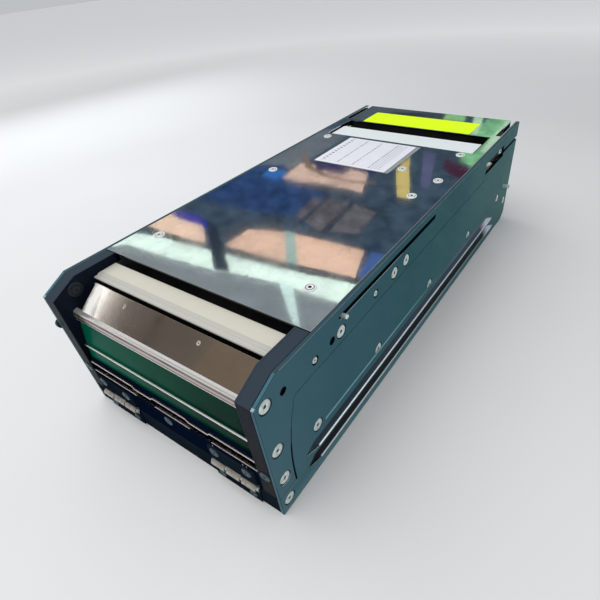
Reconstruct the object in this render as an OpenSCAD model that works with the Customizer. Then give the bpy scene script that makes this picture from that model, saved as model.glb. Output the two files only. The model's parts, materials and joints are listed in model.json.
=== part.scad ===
// Banknote validator: a long sheet-metal clamshell. The upper unit swings up about two butt
// hinges on the front face and uncovers the note path. X is across, Y runs front to rear, Z is up.
// All lengths are in millimetres.

/* [Body] */
// Width over the side plates
body_w = 230; // [200:1:280]
// Length from the front face to the rear face
body_l = 524; // [470:1:640]
// Height over the top cover
body_h = 136; // [128:1:165]
// Thickness of the four side plates
plate_t = 3; // [2.5:0.5:4]
// Thickness of folded sheet parts
sheet_t = 1.5; // [1:0.1:2]
// Width of each front post, side plate included
post_w = 16; // [14:0.5:22]
// Length of the chamfer on the front posts
chamfer_y = 23.5; // [15:0.5:30]
// Drop of the chamfer on the front posts
chamfer_z = 11.3; // [8:0.1:16]
// Length of the front posts along the top
post_l = 62; // [58:1:80]

/* [Parting line] */
// Height of the parting line on the front face
sill_z = 21.8; // [20:0.1:30]
// Distance of the upright parting line from the front face
part_y = 20; // [18:0.5:24]
// Depth of the parting line under the top
rail_drop = 32; // [30:0.5:36]
// Depth of the rear parting line under the top
tail_drop = 20; // [19:0.5:25]
// Width of the parting gap
part_gap = 0.6; // [0.4:0.1:1.5]
// Width of the open crack at the upright parting line
crack_gap = 1.4; // [0.8:0.1:2]

/* [Hinges] */
// Distance of each hinge centre from the middle
hinge_x = 71; // [60:1:80]
// Width of a hinge
hinge_w = 48; // [40:1:56]
// Height of one hinge leaf
leaf_h = 20; // [16:0.5:20.5]
// Radius of the hinge knuckles
knuckle_r = 3; // [2.5:0.1:3.2]
// Radius of the hinge pin
hinge_pin_r = 1.5; // [1:0.1:1.8]
// Distance of the hinge axis from the front face
hinge_out = 1.5; // [1:0.1:2.5]

/* [Note path] */
// Clear height between the note guides
guide_gap = 3; // [2:0.1:3.5]
// Radius of the lower guide where the path turns level
turn_r = 16; // [12:0.5:18]
// Radius of the belt drums
drum_r = 12; // [11:0.5:13]
// Radius of the pinch rollers
pinch_r = 8; // [6:0.5:8.5]
// Radius of the drum and pinch shafts
shaft_r = 3; // [2:0.5:3.5]
// Radial running clearance of shafts and pins
run_gap = 0.05; // [0.02:0.01:0.1]
// Width of a transport belt
belt_w = 12; // [8:1:16]
// Thickness of the transport and timing belts
belt_t = 1.5; // [1:0.1:2]

/* [Drive] */
// Gear module
gear_m = 1; // [0.8:0.1:1.1]
// Teeth on the drive gear
gear_teeth = 40; // [36:1:42]
// Teeth on the motor pinion
pinion_teeth = 20; // [18:1:24]
// Radius of the motor can
motor_r = 14; // [10:0.5:15]
// Length of the motor can
motor_l = 52; // [40:1:60]

/* [Screws and studs] */
// Radius of the low screw heads
head_r = 5.1; // [4:0.1:5.5]
// Radius of the counterbores around the heads
bore_r = 5.9; // [5.6:0.1:6.5]
// Depth of the screw heads
head_t = 1.5; // [1:0.1:1.8]
// Radius of the screw shanks
shank_r = 2; // [1.5:0.1:2]
// Radius of the locating studs
stud_r = 2.5; // [2:0.1:4]
// Length that a stud stands out of the side plate
stud_l = 9; // [6:0.5:14]

/* [Latch] */
// Distance of the latch shaft from the rear face
latch_back = 56; // [50:1:60]
// Length of the latch levers
lever_l = 50.4; // [40:0.1:52]
// Height of the pocket that shows each lever
pocket_h = 13.7; // [12:0.1:14]

/* [Hidden] */
$fn = 48;

eps = 0.02;                                   // overlap of shapes that fuse
fit = 0.1;                                    // clearance of a screw shank in its hole
air = 0.5;                                    // clearance between neighbouring sheet parts
half_w = body_w / 2;
inner_x = half_w - plate_t;                   // inner face of the side plates
post_in = half_w - post_w;                    // inner face of the front posts
frame_in = post_in - sheet_t;                 // inner face of the inner frames
guide_x = frame_in;                           // the note guides fill the width between the frames
rail_z = body_h - rail_drop;                  // parting line along the sides
tail_z = body_h - tail_drop;                  // parting line behind the latch
tail_gap = 4;                                 // height of that parting line
chamfer_foot = body_h - chamfer_z;            // where the chamfer meets the front face
chamfer_len = sqrt(chamfer_y * chamfer_y + chamfer_z * chamfer_z);

lean_z = sill_z + 14;                         // the upright parting line starts to lean here
lean_r = 160;                                 // radius of that lean
corner_r = 6;                                 // corner where the parting line turns level
lean_top = rail_z - corner_r;
lean_y = part_y + pow(lean_top - lean_z, 2) / (2 * lean_r);

latch_y = body_l - latch_back;
latch_z = body_h - 18;
finger_z = latch_z + 0.5;                     // finger stud of the levers, clear of the pocket floor when turned
finger_y = latch_y - lever_l;
pocket_y = finger_y - 15;
pocket_top = tail_z + 8;
pocket_floor = pocket_top - pocket_h;

path_top = rail_z + 0.5;                      // underside of the upper guide
path_low = path_top - guide_gap;              // top face of the lower guide
belt_gap = 0.3;                               // gap between a belt and what it runs on
belt_top = path_low + 0.7;
loop_r = drum_r + belt_gap + belt_t;          // outside radius of a belt on its drum
drum_z = belt_top - loop_r;
pinch_z = belt_top + belt_gap + pinch_r;
wall_y = part_y + 2;                          // front face of the upright lower guide
turn_y = wall_y + turn_r;
turn_z = path_low - turn_r;
flare_y = body_l - 21;                        // the level guides flare out behind this

drum_1_y = 52;
drum_2_y = 138;
drum_3_y = 222;
drum_4_y = body_l - 84;
belt_xs = [-60, -20, 20, 60];
lower_sensor_y = 180;
upper_sensor_y = 182;
head_bar_y = 300;

gear_x = inner_x - 10.5;                      // inner face of the drive gear
gear_w = 6;
gear_gap = 0.15;                              // added to the spacing of the gears
mesh_d = gear_m * (gear_teeth + pinion_teeth) / 2 + gear_gap;
mesh_angle = 75;
motor_y = drum_4_y - mesh_d * cos(mesh_angle);
motor_z = drum_z - mesh_d * sin(mesh_angle);
pulley_r = 9;
timing_x = inner_x - 9;                       // inner face of the timing pulleys
timing_w = 6;

hinge_y = -hinge_out;
knuckle_gap = 0.25;
leaf_t = 1.5;
leaf_screw_x = 16.5;
leaf_screw_z = 16;                            // screws of the upper leaves, above the hinge pins
leaf_low_z = 13;                              // screws of the lower leaves, below the hinge pins
leaf_low_r = 3.6;

boss_y = 19.6;                                // bosses on the inner faces of the posts
knob_y = 2.5;                                 // end knob on the left side, past the front edge
knob_z = 93.5;
knob_r = 4.5;
knob_l = 5;

slot_low = 46.5;                              // high stretches of the lower lip
slot_high = 57;                               // high stretches of the upper lip
slot_step = 2.7;                              // how far the low stretches drop
slot_shift = 6;                               // the pattern sits this far to the right
slot_inner = 20;
slot_outer = 44;
slot_ramp = 2.5;
lip_y = 2.2;
lip_t = 1.5;

window_x = 100;                               // half width of the rear window in the top cover
window_front = body_l - 128;
window_rear = body_l - 71;
notch_y = body_l - 63;
notch_in = 104;
notch_out = 110;
beam_z = body_h - 7.5;                        // top of the front beam
beam_front = 40;
beam_rear = 59.5;
rear_beam_z = body_h - 2;
rear_beam_l = 36;

groove_z = [14.5, 31.5];                      // centre lines of the two pressed grooves
groove_h = [10, 12.5];
groove_front = 35.2;
groove_rear = body_l - 55;
groove_point = 16;
groove_d = 1.8;

side_z = body_h - 22.7;                       // row of screws in the upper side plates
low_side_z = 49.5;                            // row of screws in the lower side plates
post_screws = [[9.2, chamfer_foot - 5.2], [9.9, 72.5], [9.9, 38.5]];
upper_screws_y = [93, 176, 198];
small_screws_y = [60, 144];
lower_screws_y = [53, 147, 256, body_l - 157, body_l - 47.5];
sill_screw = [9.3, 11];
tail_screw = [body_l - 11, 31];
stud_at = [body_l - 29, 60];
black_holes = [[25.9, body_h - 18.9], [81, side_z + 0.8]];
small_head_r = 2.6;
guide_slot_y = [93.5, 256];
guide_slot_z = body_h - 8.8;
guide_slot_r = 2.3;
guide_pin_r = 1.9;
guide_pin_out = 4.5;                          // how far the pins stand out of the side plates
standoff_r = 4.5;
top_screw_at = [[-88, 102], [83, 102], [-88, 266], [84, 270], [-92, 384], [88, 387]];
mid_screw_at = [[46, 325.6], [93, 312.6]];
cross_ys = [102, 268, 385.5];
board_x = 70;
board_y = [150, 330];
board_z = 8;
foot_hole_x = 80;
foot_hole_y = [60, body_l - 60];
foot_hole_r = 2.25;
corner_cut = [11, 8];
connector_x = [-62, 20];

// Lean of the upright parting line at height z
function lean(z) = z < lean_z ? 0 : pow(z - lean_z, 2) / (2 * lean_r);

// The parting line from the front face to the latch pocket: s is 1 for the upper edge, -1 for the lower
function parting(s) =
    let (dz = s * part_gap / 2, dy = -s * crack_gap / 2, n = 6)
    concat(
        [[0, sill_z + dz], [part_y + dy, sill_z + dz], [part_y + dy, lean_z]],
        [for (i = [1:n]) let (z = lean_z + i * (lean_top - lean_z) / n) [part_y + lean(z) + dy, z]],
        [for (i = [1:n]) let (a = i * 75 / n)
            [lean_y + corner_r * 1.2 * (1 - cos(a * 1.2)) + dy * (1 - i / n),
             lean_top + (corner_r + dz) * sin(a * 1.2)]]
    );

// Shift of the parting corner behind the lean
function corner_end() = lean_y + corner_r * 1.2;

// Moves the object so that the middle of its length is at Y = 0
module placed() translate([0, -body_l / 2, 0]) children();

// Extrudes a (Y, Z) outline along X from x to x + w
module along_x(x, w) translate([x, 0, 0]) rotate([90, 0, 90]) linear_extrude(w) children();

// A cylinder along X at (y, z)
module rod(x, y, z, r, w) translate([x, y, z]) rotate([0, 90, 0]) cylinder(r = r, h = w);

// Repeats what it is given on the left side too
module both() {
    children();
    mirror([1, 0, 0]) children();
}

module lower_outline() polygon(concat(
    [[0, 0]],
    parting(-1),
    [[pocket_y, rail_z - part_gap / 2], [pocket_y, pocket_floor],
     [latch_y, pocket_floor], [latch_y, tail_z - tail_gap / 2],
     [body_l, tail_z - tail_gap / 2], [body_l, corner_cut[1]], [body_l - corner_cut[0], 0]]
));

module upper_outline() polygon(concat(
    parting(1),
    [[pocket_y, rail_z + part_gap / 2], [pocket_y, pocket_top], [latch_y, pocket_top],
     [latch_y, tail_z + tail_gap / 2], [body_l, tail_z + tail_gap / 2],
     [body_l, body_h], [chamfer_y, body_h], [0, chamfer_foot]]
));

// Counterbore and shank hole for one screw, from the outer face inwards
module screw_hole(y, z, r) {
    rod(half_w - head_t - 0.3, y, z, r, plate_t);
    rod(inner_x - 1, y, z, shank_r + fit, plate_t);
}

// One pressed groove with a pointed front end, cut into the outer face
module groove(i) along_x(half_w - groove_d, groove_d + 1) polygon([
    [groove_front, groove_z[i] + groove_h[i] * 0.1],
    [groove_front + groove_point, groove_z[i] + groove_h[i] / 2],
    [groove_rear - 4, groove_z[i] + groove_h[i] / 2],
    [groove_rear, groove_z[i]],
    [groove_rear - 8, groove_z[i] - groove_h[i] / 2],
    [groove_front + groove_point, groove_z[i] - groove_h[i] / 2],
    [groove_front, groove_z[i] - groove_h[i] * 0.05]
]);

module lower_plate() color([0.2, 0.32, 0.35]) difference() {
    along_x(inner_x, plate_t) lower_outline();
    for (i = [0, 1]) groove(i);
    for (y = lower_screws_y) screw_hole(y, low_side_z, bore_r);
    screw_hole(sill_screw[0], sill_screw[1], bore_r);
    screw_hole(tail_screw[0], tail_screw[1], bore_r);
    rod(inner_x - 1, stud_at[0], stud_at[1], shank_r, plate_t + 2);
}

module upper_plate() color([0.2, 0.33, 0.36]) difference() {
    along_x(inner_x, plate_t) upper_outline();
    for (p = post_screws) screw_hole(p[0], p[1], bore_r);
    for (y = upper_screws_y) screw_hole(y, side_z, bore_r);
    for (y = small_screws_y) screw_hole(y, side_z, small_head_r + 1.2);
    for (p = black_holes) rod(inner_x - 1, p[0], p[1], 3.2, plate_t + 2);
    for (y = guide_slot_y) rod(inner_x - 1, y, guide_slot_z, guide_slot_r, plate_t + 2);
    translate([inner_x - 1, guide_slot_y[0], guide_slot_z - guide_slot_r])
        cube([plate_t + 2, guide_slot_y[1] - guide_slot_y[0], 2 * guide_slot_r]);
}

module lower_plate_right() placed() lower_plate();
module lower_plate_left() placed() mirror([1, 0, 0]) lower_plate();
module upper_plate_right() placed() upper_plate();
module upper_plate_left() placed() mirror([1, 0, 0]) upper_plate();

// Floor of the lower unit, folded up at both long edges
module bottom_plate() color([0.6, 0.62, 0.64]) placed() difference() {
    union() {
        translate([-post_in, part_y + 2, 0]) cube([2 * post_in, body_l - part_y - 8, sheet_t]);
        both() translate([post_in - eps, part_y + 2, 0])
            cube([inner_x - post_in + eps, body_l - part_y - 14, sheet_t]);
        both() translate([inner_x - sheet_t, part_y + 2, 0]) cube([sheet_t, body_l - part_y - 14, 7]);
    }
    for (x = [-foot_hole_x, foot_hole_x], y = foot_hole_y)
        translate([x, y, -1]) cylinder(r = foot_hole_r, h = sheet_t + 2);
}

// Box-section sill under the front panels
module front_sill() color([0.08, 0.11, 0.17]) placed() difference() {
    union() {
        translate([-inner_x, 0, 0]) cube([2 * inner_x, sheet_t, sill_z - part_gap / 2]);
        translate([-inner_x, 0, 0]) cube([2 * inner_x, part_y + 1, sheet_t]);
        translate([-inner_x, 0, sill_z - part_gap / 2 - sheet_t])
            cube([2 * inner_x, part_y - crack_gap, sheet_t]);
        both() rod(inner_x - 9, sill_screw[0], sill_screw[1], standoff_r, 9);
        both() translate([inner_x - 9.5, sheet_t / 2, sheet_t / 2])
            cube([1, part_y - 2, sill_z - 2 * sheet_t]);
    }
    both() rod(inner_x - 8, sill_screw[0], sill_screw[1], shank_r + fit, 10);
    both() rod(hinge_x - hinge_w / 2 - 0.5, hinge_y, sill_z, knuckle_r + 0.5, hinge_w + 1);
    both() for (dx = [-leaf_screw_x, leaf_screw_x])
        translate([hinge_x + dx, -1, sill_z - leaf_low_z])
            rotate([-90, 0, 0]) cylinder(r = 1.5 + fit, h = 4);
}

// Rear wall of the lower unit with two connector cut-outs
module lower_rear_plate() color([0.2, 0.3, 0.33]) placed() difference() {
    union() {
        translate([-inner_x, body_l - sheet_t, sheet_t + 7])
            cube([2 * inner_x, sheet_t, path_low - 11 - sheet_t]);
        translate([-post_in, body_l - 8, sheet_t]) cube([2 * post_in, 6, sheet_t]);
        translate([-post_in, body_l - 8, sheet_t]) cube([2 * post_in, sheet_t, 8 + sheet_t]);
        translate([-post_in, body_l - 8, 8 + sheet_t]) cube([2 * post_in, 8, sheet_t]);
    }
    for (x = connector_x) translate([x, body_l - 5, 20]) cube([42, 10, 14]);
    for (i = [0:9]) translate([-70 + i * 14, body_l - 5, 56]) cube([7, 10, 20]);
}

// Side frames of the lower unit with their standoffs
module lower_frame() difference() {
    union() {
        along_x(frame_in, sheet_t) difference() {
            polygon([
                [wall_y + 4, sheet_t], [wall_y + 4, turn_z], [turn_y, path_low - 6],
                [latch_y + 2, path_low - 6], [latch_y + 2, rail_z - 1],
                [latch_y + 20, rail_z - 1], [latch_y + 20, path_low - 6],
                [body_l - 9, path_low - 6], [body_l - 9, sheet_t]
            ]);
            for (i = [0:3]) translate([95 + i * 85, 26]) square([50, 12]);
        }
        for (y = lower_screws_y) rod(frame_in, y, low_side_z, standoff_r, inner_x - frame_in);
        rod(frame_in, tail_screw[0] - 1, tail_screw[1], standoff_r, inner_x - frame_in);
        rod(frame_in, stud_at[0], stud_at[1], standoff_r, inner_x - frame_in);
    }
    for (y = lower_screws_y) rod(frame_in - 1, y, low_side_z, shank_r + fit, post_w + 4);
    rod(frame_in - 1, tail_screw[0], tail_screw[1], shank_r + fit, post_w + 4);
    rod(post_in + 2, stud_at[0], stud_at[1], shank_r, post_w);
    for (y = [drum_1_y, drum_2_y, drum_3_y, drum_4_y])
        rod(frame_in - 1, y, drum_z, shaft_r + 2, sheet_t + 2);
    rod(frame_in - 1, motor_y, motor_z, 5, sheet_t + 2);
    rod(frame_in - 1, latch_y + keeper_dy, keeper_z, keeper_r, sheet_t + 2);
}
module lower_frames() color([0.62, 0.64, 0.66]) placed() both() lower_frame();

// Note guide of the lower unit: upright wall, quarter turn, level bed and a flared end
module guide_section(r, z0, flare) {
    translate([turn_y - r, z0]) square([sheet_t, turn_z - z0]);
    intersection() {
        difference() {
            translate([turn_y, turn_z]) circle(r = r);
            translate([turn_y, turn_z]) circle(r = r - sheet_t);
        }
        translate([turn_y - r, turn_z]) square([r, r]);
    }
    translate([0, turn_z + r]) polygon([
        [turn_y, -sheet_t], [flare_y, -sheet_t], [flare_y + 13, flare - sheet_t],
        [flare_y + 13, flare], [flare_y, 0], [turn_y, 0]
    ]);
}

module belt_windows(y0, y1) for (x = belt_xs)
    translate([x - belt_w / 2 - 2, y0 - 10, path_low - 4]) cube([belt_w + 4, y1 - y0 + 20, 6]);

module lower_note_guide() color([0.12, 0.13, 0.14]) placed() difference() {
    along_x(-guide_x, 2 * guide_x) {
        guide_section(turn_r, sill_z + 4, -2);
        polygon([
            [wall_y - 4.4, slot_low - 4.6], [wall_y - 3.4, slot_low - 5.7],
            [wall_y + sheet_t / 2, slot_low], [wall_y + sheet_t / 2, slot_low + 3.2]
        ]);
    }
    belt_windows(drum_1_y, drum_2_y);
    belt_windows(drum_3_y, drum_4_y);
    translate([-guide_x + 4, lower_sensor_y - 11 - air, path_low - 4])
        cube([2 * guide_x - 8, 22 + 2 * air, 6]);
}

module lower_sensor() color([0.1, 0.1, 0.11]) placed() difference() {
    union() {
        translate([-guide_x + 5, lower_sensor_y - 10.5, path_low - 22]) cube([2 * guide_x - 10, 21, 21.3]);
        translate([-guide_x, lower_sensor_y - 6, path_low - 20]) cube([2 * guide_x, 12, 8]);
    }
    translate([-guide_x + 8, lower_sensor_y - 7.5, path_low - 3.2]) cube([2 * guide_x - 16, 15, 6]);
    both() translate([guide_x - 14, lower_sensor_y - 12, path_low - 10]) cube([5, 24, 5]);
}
module lower_sensor_glass() color([0.6, 0.75, 0.78, 0.5]) placed()
    translate([-guide_x + 8.2, lower_sensor_y - 7.3, path_low - 3.2]) cube([2 * guide_x - 16.4, 14.6, 2.9]);

module shaft_bushes() color([0.72, 0.58, 0.3]) placed() both()
    for (y = [drum_1_y, drum_2_y, drum_3_y, drum_4_y]) difference() {
        union() {
            rod(frame_in - 1.5, y, drum_z, shaft_r + 2, sheet_t + 1.5);
            rod(frame_in - 1.5, y, drum_z, shaft_r + 3.5, 1.5);
        }
        rod(frame_in - 2, y, drum_z, shaft_r + run_gap, sheet_t + 3);
    }

module drive_motor() color([0.7, 0.7, 0.72]) placed() difference() {
    union() {
        rod(frame_in - motor_l, motor_y, motor_z, motor_r, motor_l);
        rod(frame_in - motor_l - 4, motor_y, motor_z, 6, 4 + eps);
        rod(frame_in - eps, motor_y, motor_z, 4.8, sheet_t + 1);
    }
    rod(frame_in - 12, motor_y, motor_z, 1.5 + run_gap, 20);
}

// A flat belt around two drums of radius r
module belt_loop(y0, y1, z, r, x, w) along_x(x, w) difference() {
    union() {
        for (y = [y0, y1]) translate([y, z]) circle(r = r + belt_gap + belt_t);
        translate([y0, z - r - belt_gap - belt_t]) square([y1 - y0, 2 * (r + belt_gap + belt_t)]);
    }
    for (y = [y0, y1]) translate([y, z]) circle(r = r + belt_gap);
    translate([y0, z - r - belt_gap]) square([y1 - y0, 2 * (r + belt_gap)]);
}
module transport_belts_front() color([0.16, 0.3, 0.2]) placed()
    for (x = belt_xs) belt_loop(drum_1_y, drum_2_y, drum_z, drum_r, x - belt_w / 2, belt_w);
module transport_belts_rear() color([0.16, 0.3, 0.2]) placed()
    for (x = belt_xs) belt_loop(drum_3_y, drum_4_y, drum_z, drum_r, x - belt_w / 2, belt_w);
module timing_belt() color([0.08, 0.08, 0.08]) placed()
    belt_loop(drum_2_y, drum_3_y, drum_z, pulley_r, -timing_x - timing_w + 1, timing_w - 2);

// One drum: a shaft with four belt seats; pulley adds the flanged timing pulley on the left
module belt_drum(y, pulley, gear_end) color([0.75, 0.76, 0.78]) placed() {
    left = pulley ? timing_x + timing_w : post_in + 1;
    right = gear_end ? gear_x + gear_w : post_in + 1;
    rod(-left, y, drum_z, shaft_r, left + right);
    for (x = belt_xs) rod(x - belt_w / 2 - 1, y, drum_z, drum_r, belt_w + 2);
    if (pulley) {
        rod(-timing_x - timing_w, y, drum_z, pulley_r, timing_w);
        rod(-timing_x - timing_w, y, drum_z, pulley_r + 3, 0.8);
        rod(-timing_x - 0.8, y, drum_z, pulley_r + 3, 0.8);
    }
}
module belt_drum_1() belt_drum(drum_1_y, false, false);
module belt_drum_2() belt_drum(drum_2_y, true, false);
module belt_drum_3() belt_drum(drum_3_y, true, false);
module belt_drum_4() belt_drum(drum_4_y, false, true);

// Spur gear outline with n teeth, its first tooth or space on the +X axis
function tooth(n, at) = let (p = 360 / n, r = gear_m * n / 2, a = at * p)
    [for (q = [[-0.33, -1.2], [-0.25, -0.1], [-0.12, 0.95], [0.12, 0.95], [0.25, -0.1], [0.33, -1.2]])
        let (b = a + q[0] * p, s = r + q[1] * gear_m) [s * cos(b), s * sin(b)]];
module gear(n, w, turn) rotate([90, 0, 90]) rotate(turn) linear_extrude(w)
    polygon([for (i = [0:n - 1]) each tooth(n, i)]);

module drive_gear() color([0.9, 0.88, 0.8]) placed() difference() {
    translate([gear_x, drum_4_y, drum_z]) gear(gear_teeth, gear_w, mesh_angle);
    rod(gear_x - 1, drum_4_y, drum_z, shaft_r, gear_w + 2);
    for (a = [0:60:300]) rod(gear_x - 1, drum_4_y + 11 * cos(a), drum_z + 11 * sin(a), 2.5, gear_w + 2);
}
module motor_pinion() color([0.75, 0.68, 0.4]) placed() {
    translate([gear_x, motor_y, motor_z]) gear(pinion_teeth, gear_w, mesh_angle + 180 / pinion_teeth);
    rod(frame_in - 10, motor_y, motor_z, 1.5, gear_x - frame_in + 10 + eps);
}

// One pinch shaft with four rollers, hung in the upper frames
module pinch_roller(y) color([0.15, 0.15, 0.16]) placed() {
    rod(-post_in + 0.3, y, pinch_z, shaft_r, 2 * (post_in - 0.3));
    for (x = belt_xs) rod(x - belt_w / 2, y, pinch_z, pinch_r, belt_w);
}
module pinch_roller_1() pinch_roller(drum_1_y);
module pinch_roller_2() pinch_roller(drum_2_y);
module pinch_roller_3() pinch_roller(drum_3_y);
module pinch_roller_4() pinch_roller(drum_4_y);

module control_board() color([0.08, 0.35, 0.2]) placed() difference() {
    translate([-board_x, board_y[0], board_z]) cube([2 * board_x, board_y[1] - board_y[0], 1.6]);
    for (x = [-1, 1], y = board_y) translate([x * (board_x - 5), y + (y == board_y[0] ? 5 : -5), 0])
        cylinder(r = 1.6, h = 20);
}
// Chips, headers and the standoffs that carry the board
module board_parts() color([0.12, 0.12, 0.13]) placed() {
    for (p = [[-45, 180, 22], [0, 176, 14], [-40, 230, 16], [10, 240, 26], [45, 200, 12], [-10, 290, 12]])
        translate([p[0], p[1], board_z + 1.6]) cube([p[2], p[2], 2.4]);
    for (i = [0:4]) translate([-60 + i * 26, board_y[1] - 11, board_z + 1.6]) cube([18, 7, 8]);
    for (x = [-1, 1], y = board_y) translate([x * (board_x - 5), y + (y == board_y[0] ? 5 : -5), sheet_t])
        difference() {
            cylinder(r = 3.5, h = board_z - sheet_t);
            translate([0, 0, 2]) cylinder(r = 1.4, h = board_z);
        }
}

// Two sockets that stand out of the rear wall
module rear_connectors() color([0.85, 0.85, 0.82]) placed() for (x = connector_x) difference() {
    union() {
        translate([x + 0.3, body_l - 18, 20.3]) cube([41.4, 18 + hinge_out + knuckle_r, 13.4]);
        translate([x - 3, body_l - 4.5, 17]) cube([48, 3, 20]);
    }
    translate([x + 3, body_l - 6, 23]) cube([36, 20, 8]);
}

module leaf_knuckles(x0, ws) for (w = ws) rod(x0 + w[0], hinge_y, sill_z, knuckle_r, w[1]);

// Both leaves of a hinge share the axis: the outer knuckles are the lower leaf's
module hinge_leaf(up) {
    third = (hinge_w - 2 * knuckle_gap) / 3;
    x0 = hinge_x - hinge_w / 2;
    ws = up ? [[third + knuckle_gap, third]] : [[0, third], [hinge_w - third, third]];
    difference() {
        union() {
            translate([x0, -leaf_t, up ? sill_z + knuckle_r + 0.6 : sill_z - leaf_h])
                cube([hinge_w, leaf_t, leaf_h - knuckle_r - 0.6]);
            leaf_knuckles(x0, ws);
            for (w = ws) translate([x0 + w[0], -leaf_t, up ? sill_z : sill_z - knuckle_r - 1])
                cube([w[1], leaf_t, knuckle_r + 1]);
        }
        rod(x0 - 1, hinge_y, sill_z, hinge_pin_r + run_gap, hinge_w + 2);
        for (dx = [-leaf_screw_x, leaf_screw_x])
            translate([hinge_x + dx, -leaf_t - 1, sill_z + (up ? leaf_screw_z : -leaf_low_z)])
                rotate([-90, 0, 0]) cylinder(r = 1.5 + fit, h = 4);
    }
}
module hinge_leaves_lower() color([0.75, 0.73, 0.68]) placed() both() hinge_leaf(false);
module hinge_leaves_upper() color([0.75, 0.73, 0.68]) placed() both() hinge_leaf(true);
module hinge_pins() color([0.82, 0.82, 0.8]) placed() both()
    rod(hinge_x - hinge_w / 2 - 0.4, hinge_y, sill_z, hinge_pin_r, hinge_w + 0.8);

// Low-head screw in the side plate, drive recess outwards
module side_screw(y, z, r, reach) difference() {
    union() {
        rod(half_w - head_t - 0.3, y, z, r, head_t);
        rod(half_w - head_t - 0.3 - reach, y, z, shank_r, reach + eps);
    }
    rod(half_w - 1.1, y, z, 1.25, 2);
}
// Low-head screw on the front, at height z, with its head on the plane y
module face_screw(x, y, z, r) difference() {
    union() {
        translate([x, y - 0.8, z]) rotate([-90, 0, 0]) cylinder(r = r, h = 0.8);
        translate([x, y - eps, z]) rotate([-90, 0, 0]) cylinder(r = 1.5, h = 2.8);
    }
    translate([x, y - 1, z]) rotate([-90, 0, 0]) cylinder(r = 0.8, h = 0.6);
}
module lower_screws() color([0.9, 0.92, 0.9]) placed() both() {
    for (y = lower_screws_y) side_screw(y, low_side_z, head_r, 8);
    side_screw(sill_screw[0], sill_screw[1], head_r, 7);
    side_screw(tail_screw[0], tail_screw[1], head_r, 8);
    for (dx = [-leaf_screw_x, leaf_screw_x])
        face_screw(hinge_x + dx, -leaf_t, sill_z - leaf_low_z, leaf_low_r);
}

module locating_studs() color([0.85, 0.85, 0.86]) placed() both() {
    rod(half_w, stud_at[0], stud_at[1], stud_r, stud_l);
    rod(post_in + 2, stud_at[0], stud_at[1], shank_r, half_w - post_in - 2 + eps);
}

keeper_r = 2.5;
keeper_dy = 10.3;
keeper_z = latch_z - 19;
module latch_keepers() color([0.8, 0.8, 0.82]) placed() both()
    rod(frame_in, latch_y + keeper_dy, keeper_z, keeper_r, 11.5);

// Mirror-finished top with the rear window and the two rear notches, folded down at the rear
module top_cover() color([0.2, 0.23, 0.3]) placed() difference() {
    union() {
        translate([-inner_x + 0.2, post_l + 1, body_h - sheet_t])
            cube([2 * inner_x - 0.4, body_l - post_l - 1, sheet_t]);
        translate([-notch_in, body_l - sheet_t, path_top + 4.5])
            cube([2 * notch_in, sheet_t, body_h - path_top - 4.5]);
    }
    translate([-window_x, window_front, body_h - 5]) cube([2 * window_x, window_rear - window_front, 9]);
    both() translate([notch_in, notch_y, body_h - 5]) cube([notch_out - notch_in, 80, 9]);
    for (p = concat(top_screw_at, mid_screw_at))
        translate([p[0], p[1], body_h - 5]) cylinder(r = shank_r + fit, h = 9);
}

// Folded front post: outer skin, inner wall and screw bosses
module post_skin() polygon([
    [0, sill_z + part_gap / 2], [0, chamfer_foot], [chamfer_y, body_h], [post_l, body_h],
    [post_l, body_h - 2], [chamfer_y + 2 * (chamfer_len - chamfer_y) / chamfer_z, body_h - 2],
    [2, chamfer_foot - 2 * (chamfer_len - chamfer_z) / chamfer_y], [2, sill_z + part_gap / 2]
]);
module post_outline() polygon(concat(
    parting(1),
    [[post_l, rail_z + part_gap / 2], [post_l, body_h], [chamfer_y, body_h], [0, chamfer_foot]]
));
module front_post() color([0.13, 0.17, 0.24]) difference() {
    union() {
        along_x(post_in, inner_x - post_in) post_skin();
        along_x(post_in, 2) post_outline();
        for (p = post_screws) rod(post_in + 1, p[0], p[1], standoff_r, inner_x - post_in - 1);
    }
    for (p = post_screws) rod(inner_x - 9, p[0], p[1], shank_r + fit, 12);
    translate([post_in + post_w / 2 - 1, -1, 47]) rotate([-90, 0, 0]) cylinder(r = 1.5 + fit, h = 8);
}
module front_post_right() placed() front_post();
module front_post_left() placed() mirror([1, 0, 0]) front_post();

// Pale folded beam that joins the posts behind the entry plate
module front_beam() color([0.86, 0.84, 0.78]) placed() {
    translate([-frame_in + air, beam_front, beam_z - sheet_t])
        cube([2 * (frame_in - air), beam_rear - beam_front, sheet_t]);
    for (y = [beam_front, beam_rear - sheet_t]) translate([-frame_in + air, y, beam_z - 7])
        cube([2 * (frame_in - air), sheet_t, 7]);
    both() translate([frame_in - air - 3, beam_front, beam_z - 7])
        cube([3 + air, beam_rear - beam_front, 7 - sheet_t / 2]);
}
module rear_beam() color([0.86, 0.86, 0.84]) placed() {
    translate([-frame_in + air, window_front + 2, rear_beam_z - sheet_t])
        cube([2 * (frame_in - air), rear_beam_l, sheet_t]);
    translate([-frame_in + air, window_front + 2, rear_beam_z - 9])
        cube([2 * (frame_in - air), sheet_t, 9]);
    both() translate([frame_in - air - 3, window_front + 2, rear_beam_z - 9])
        cube([3 + air, rear_beam_l, 9 - sheet_t / 2]);
}

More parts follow.
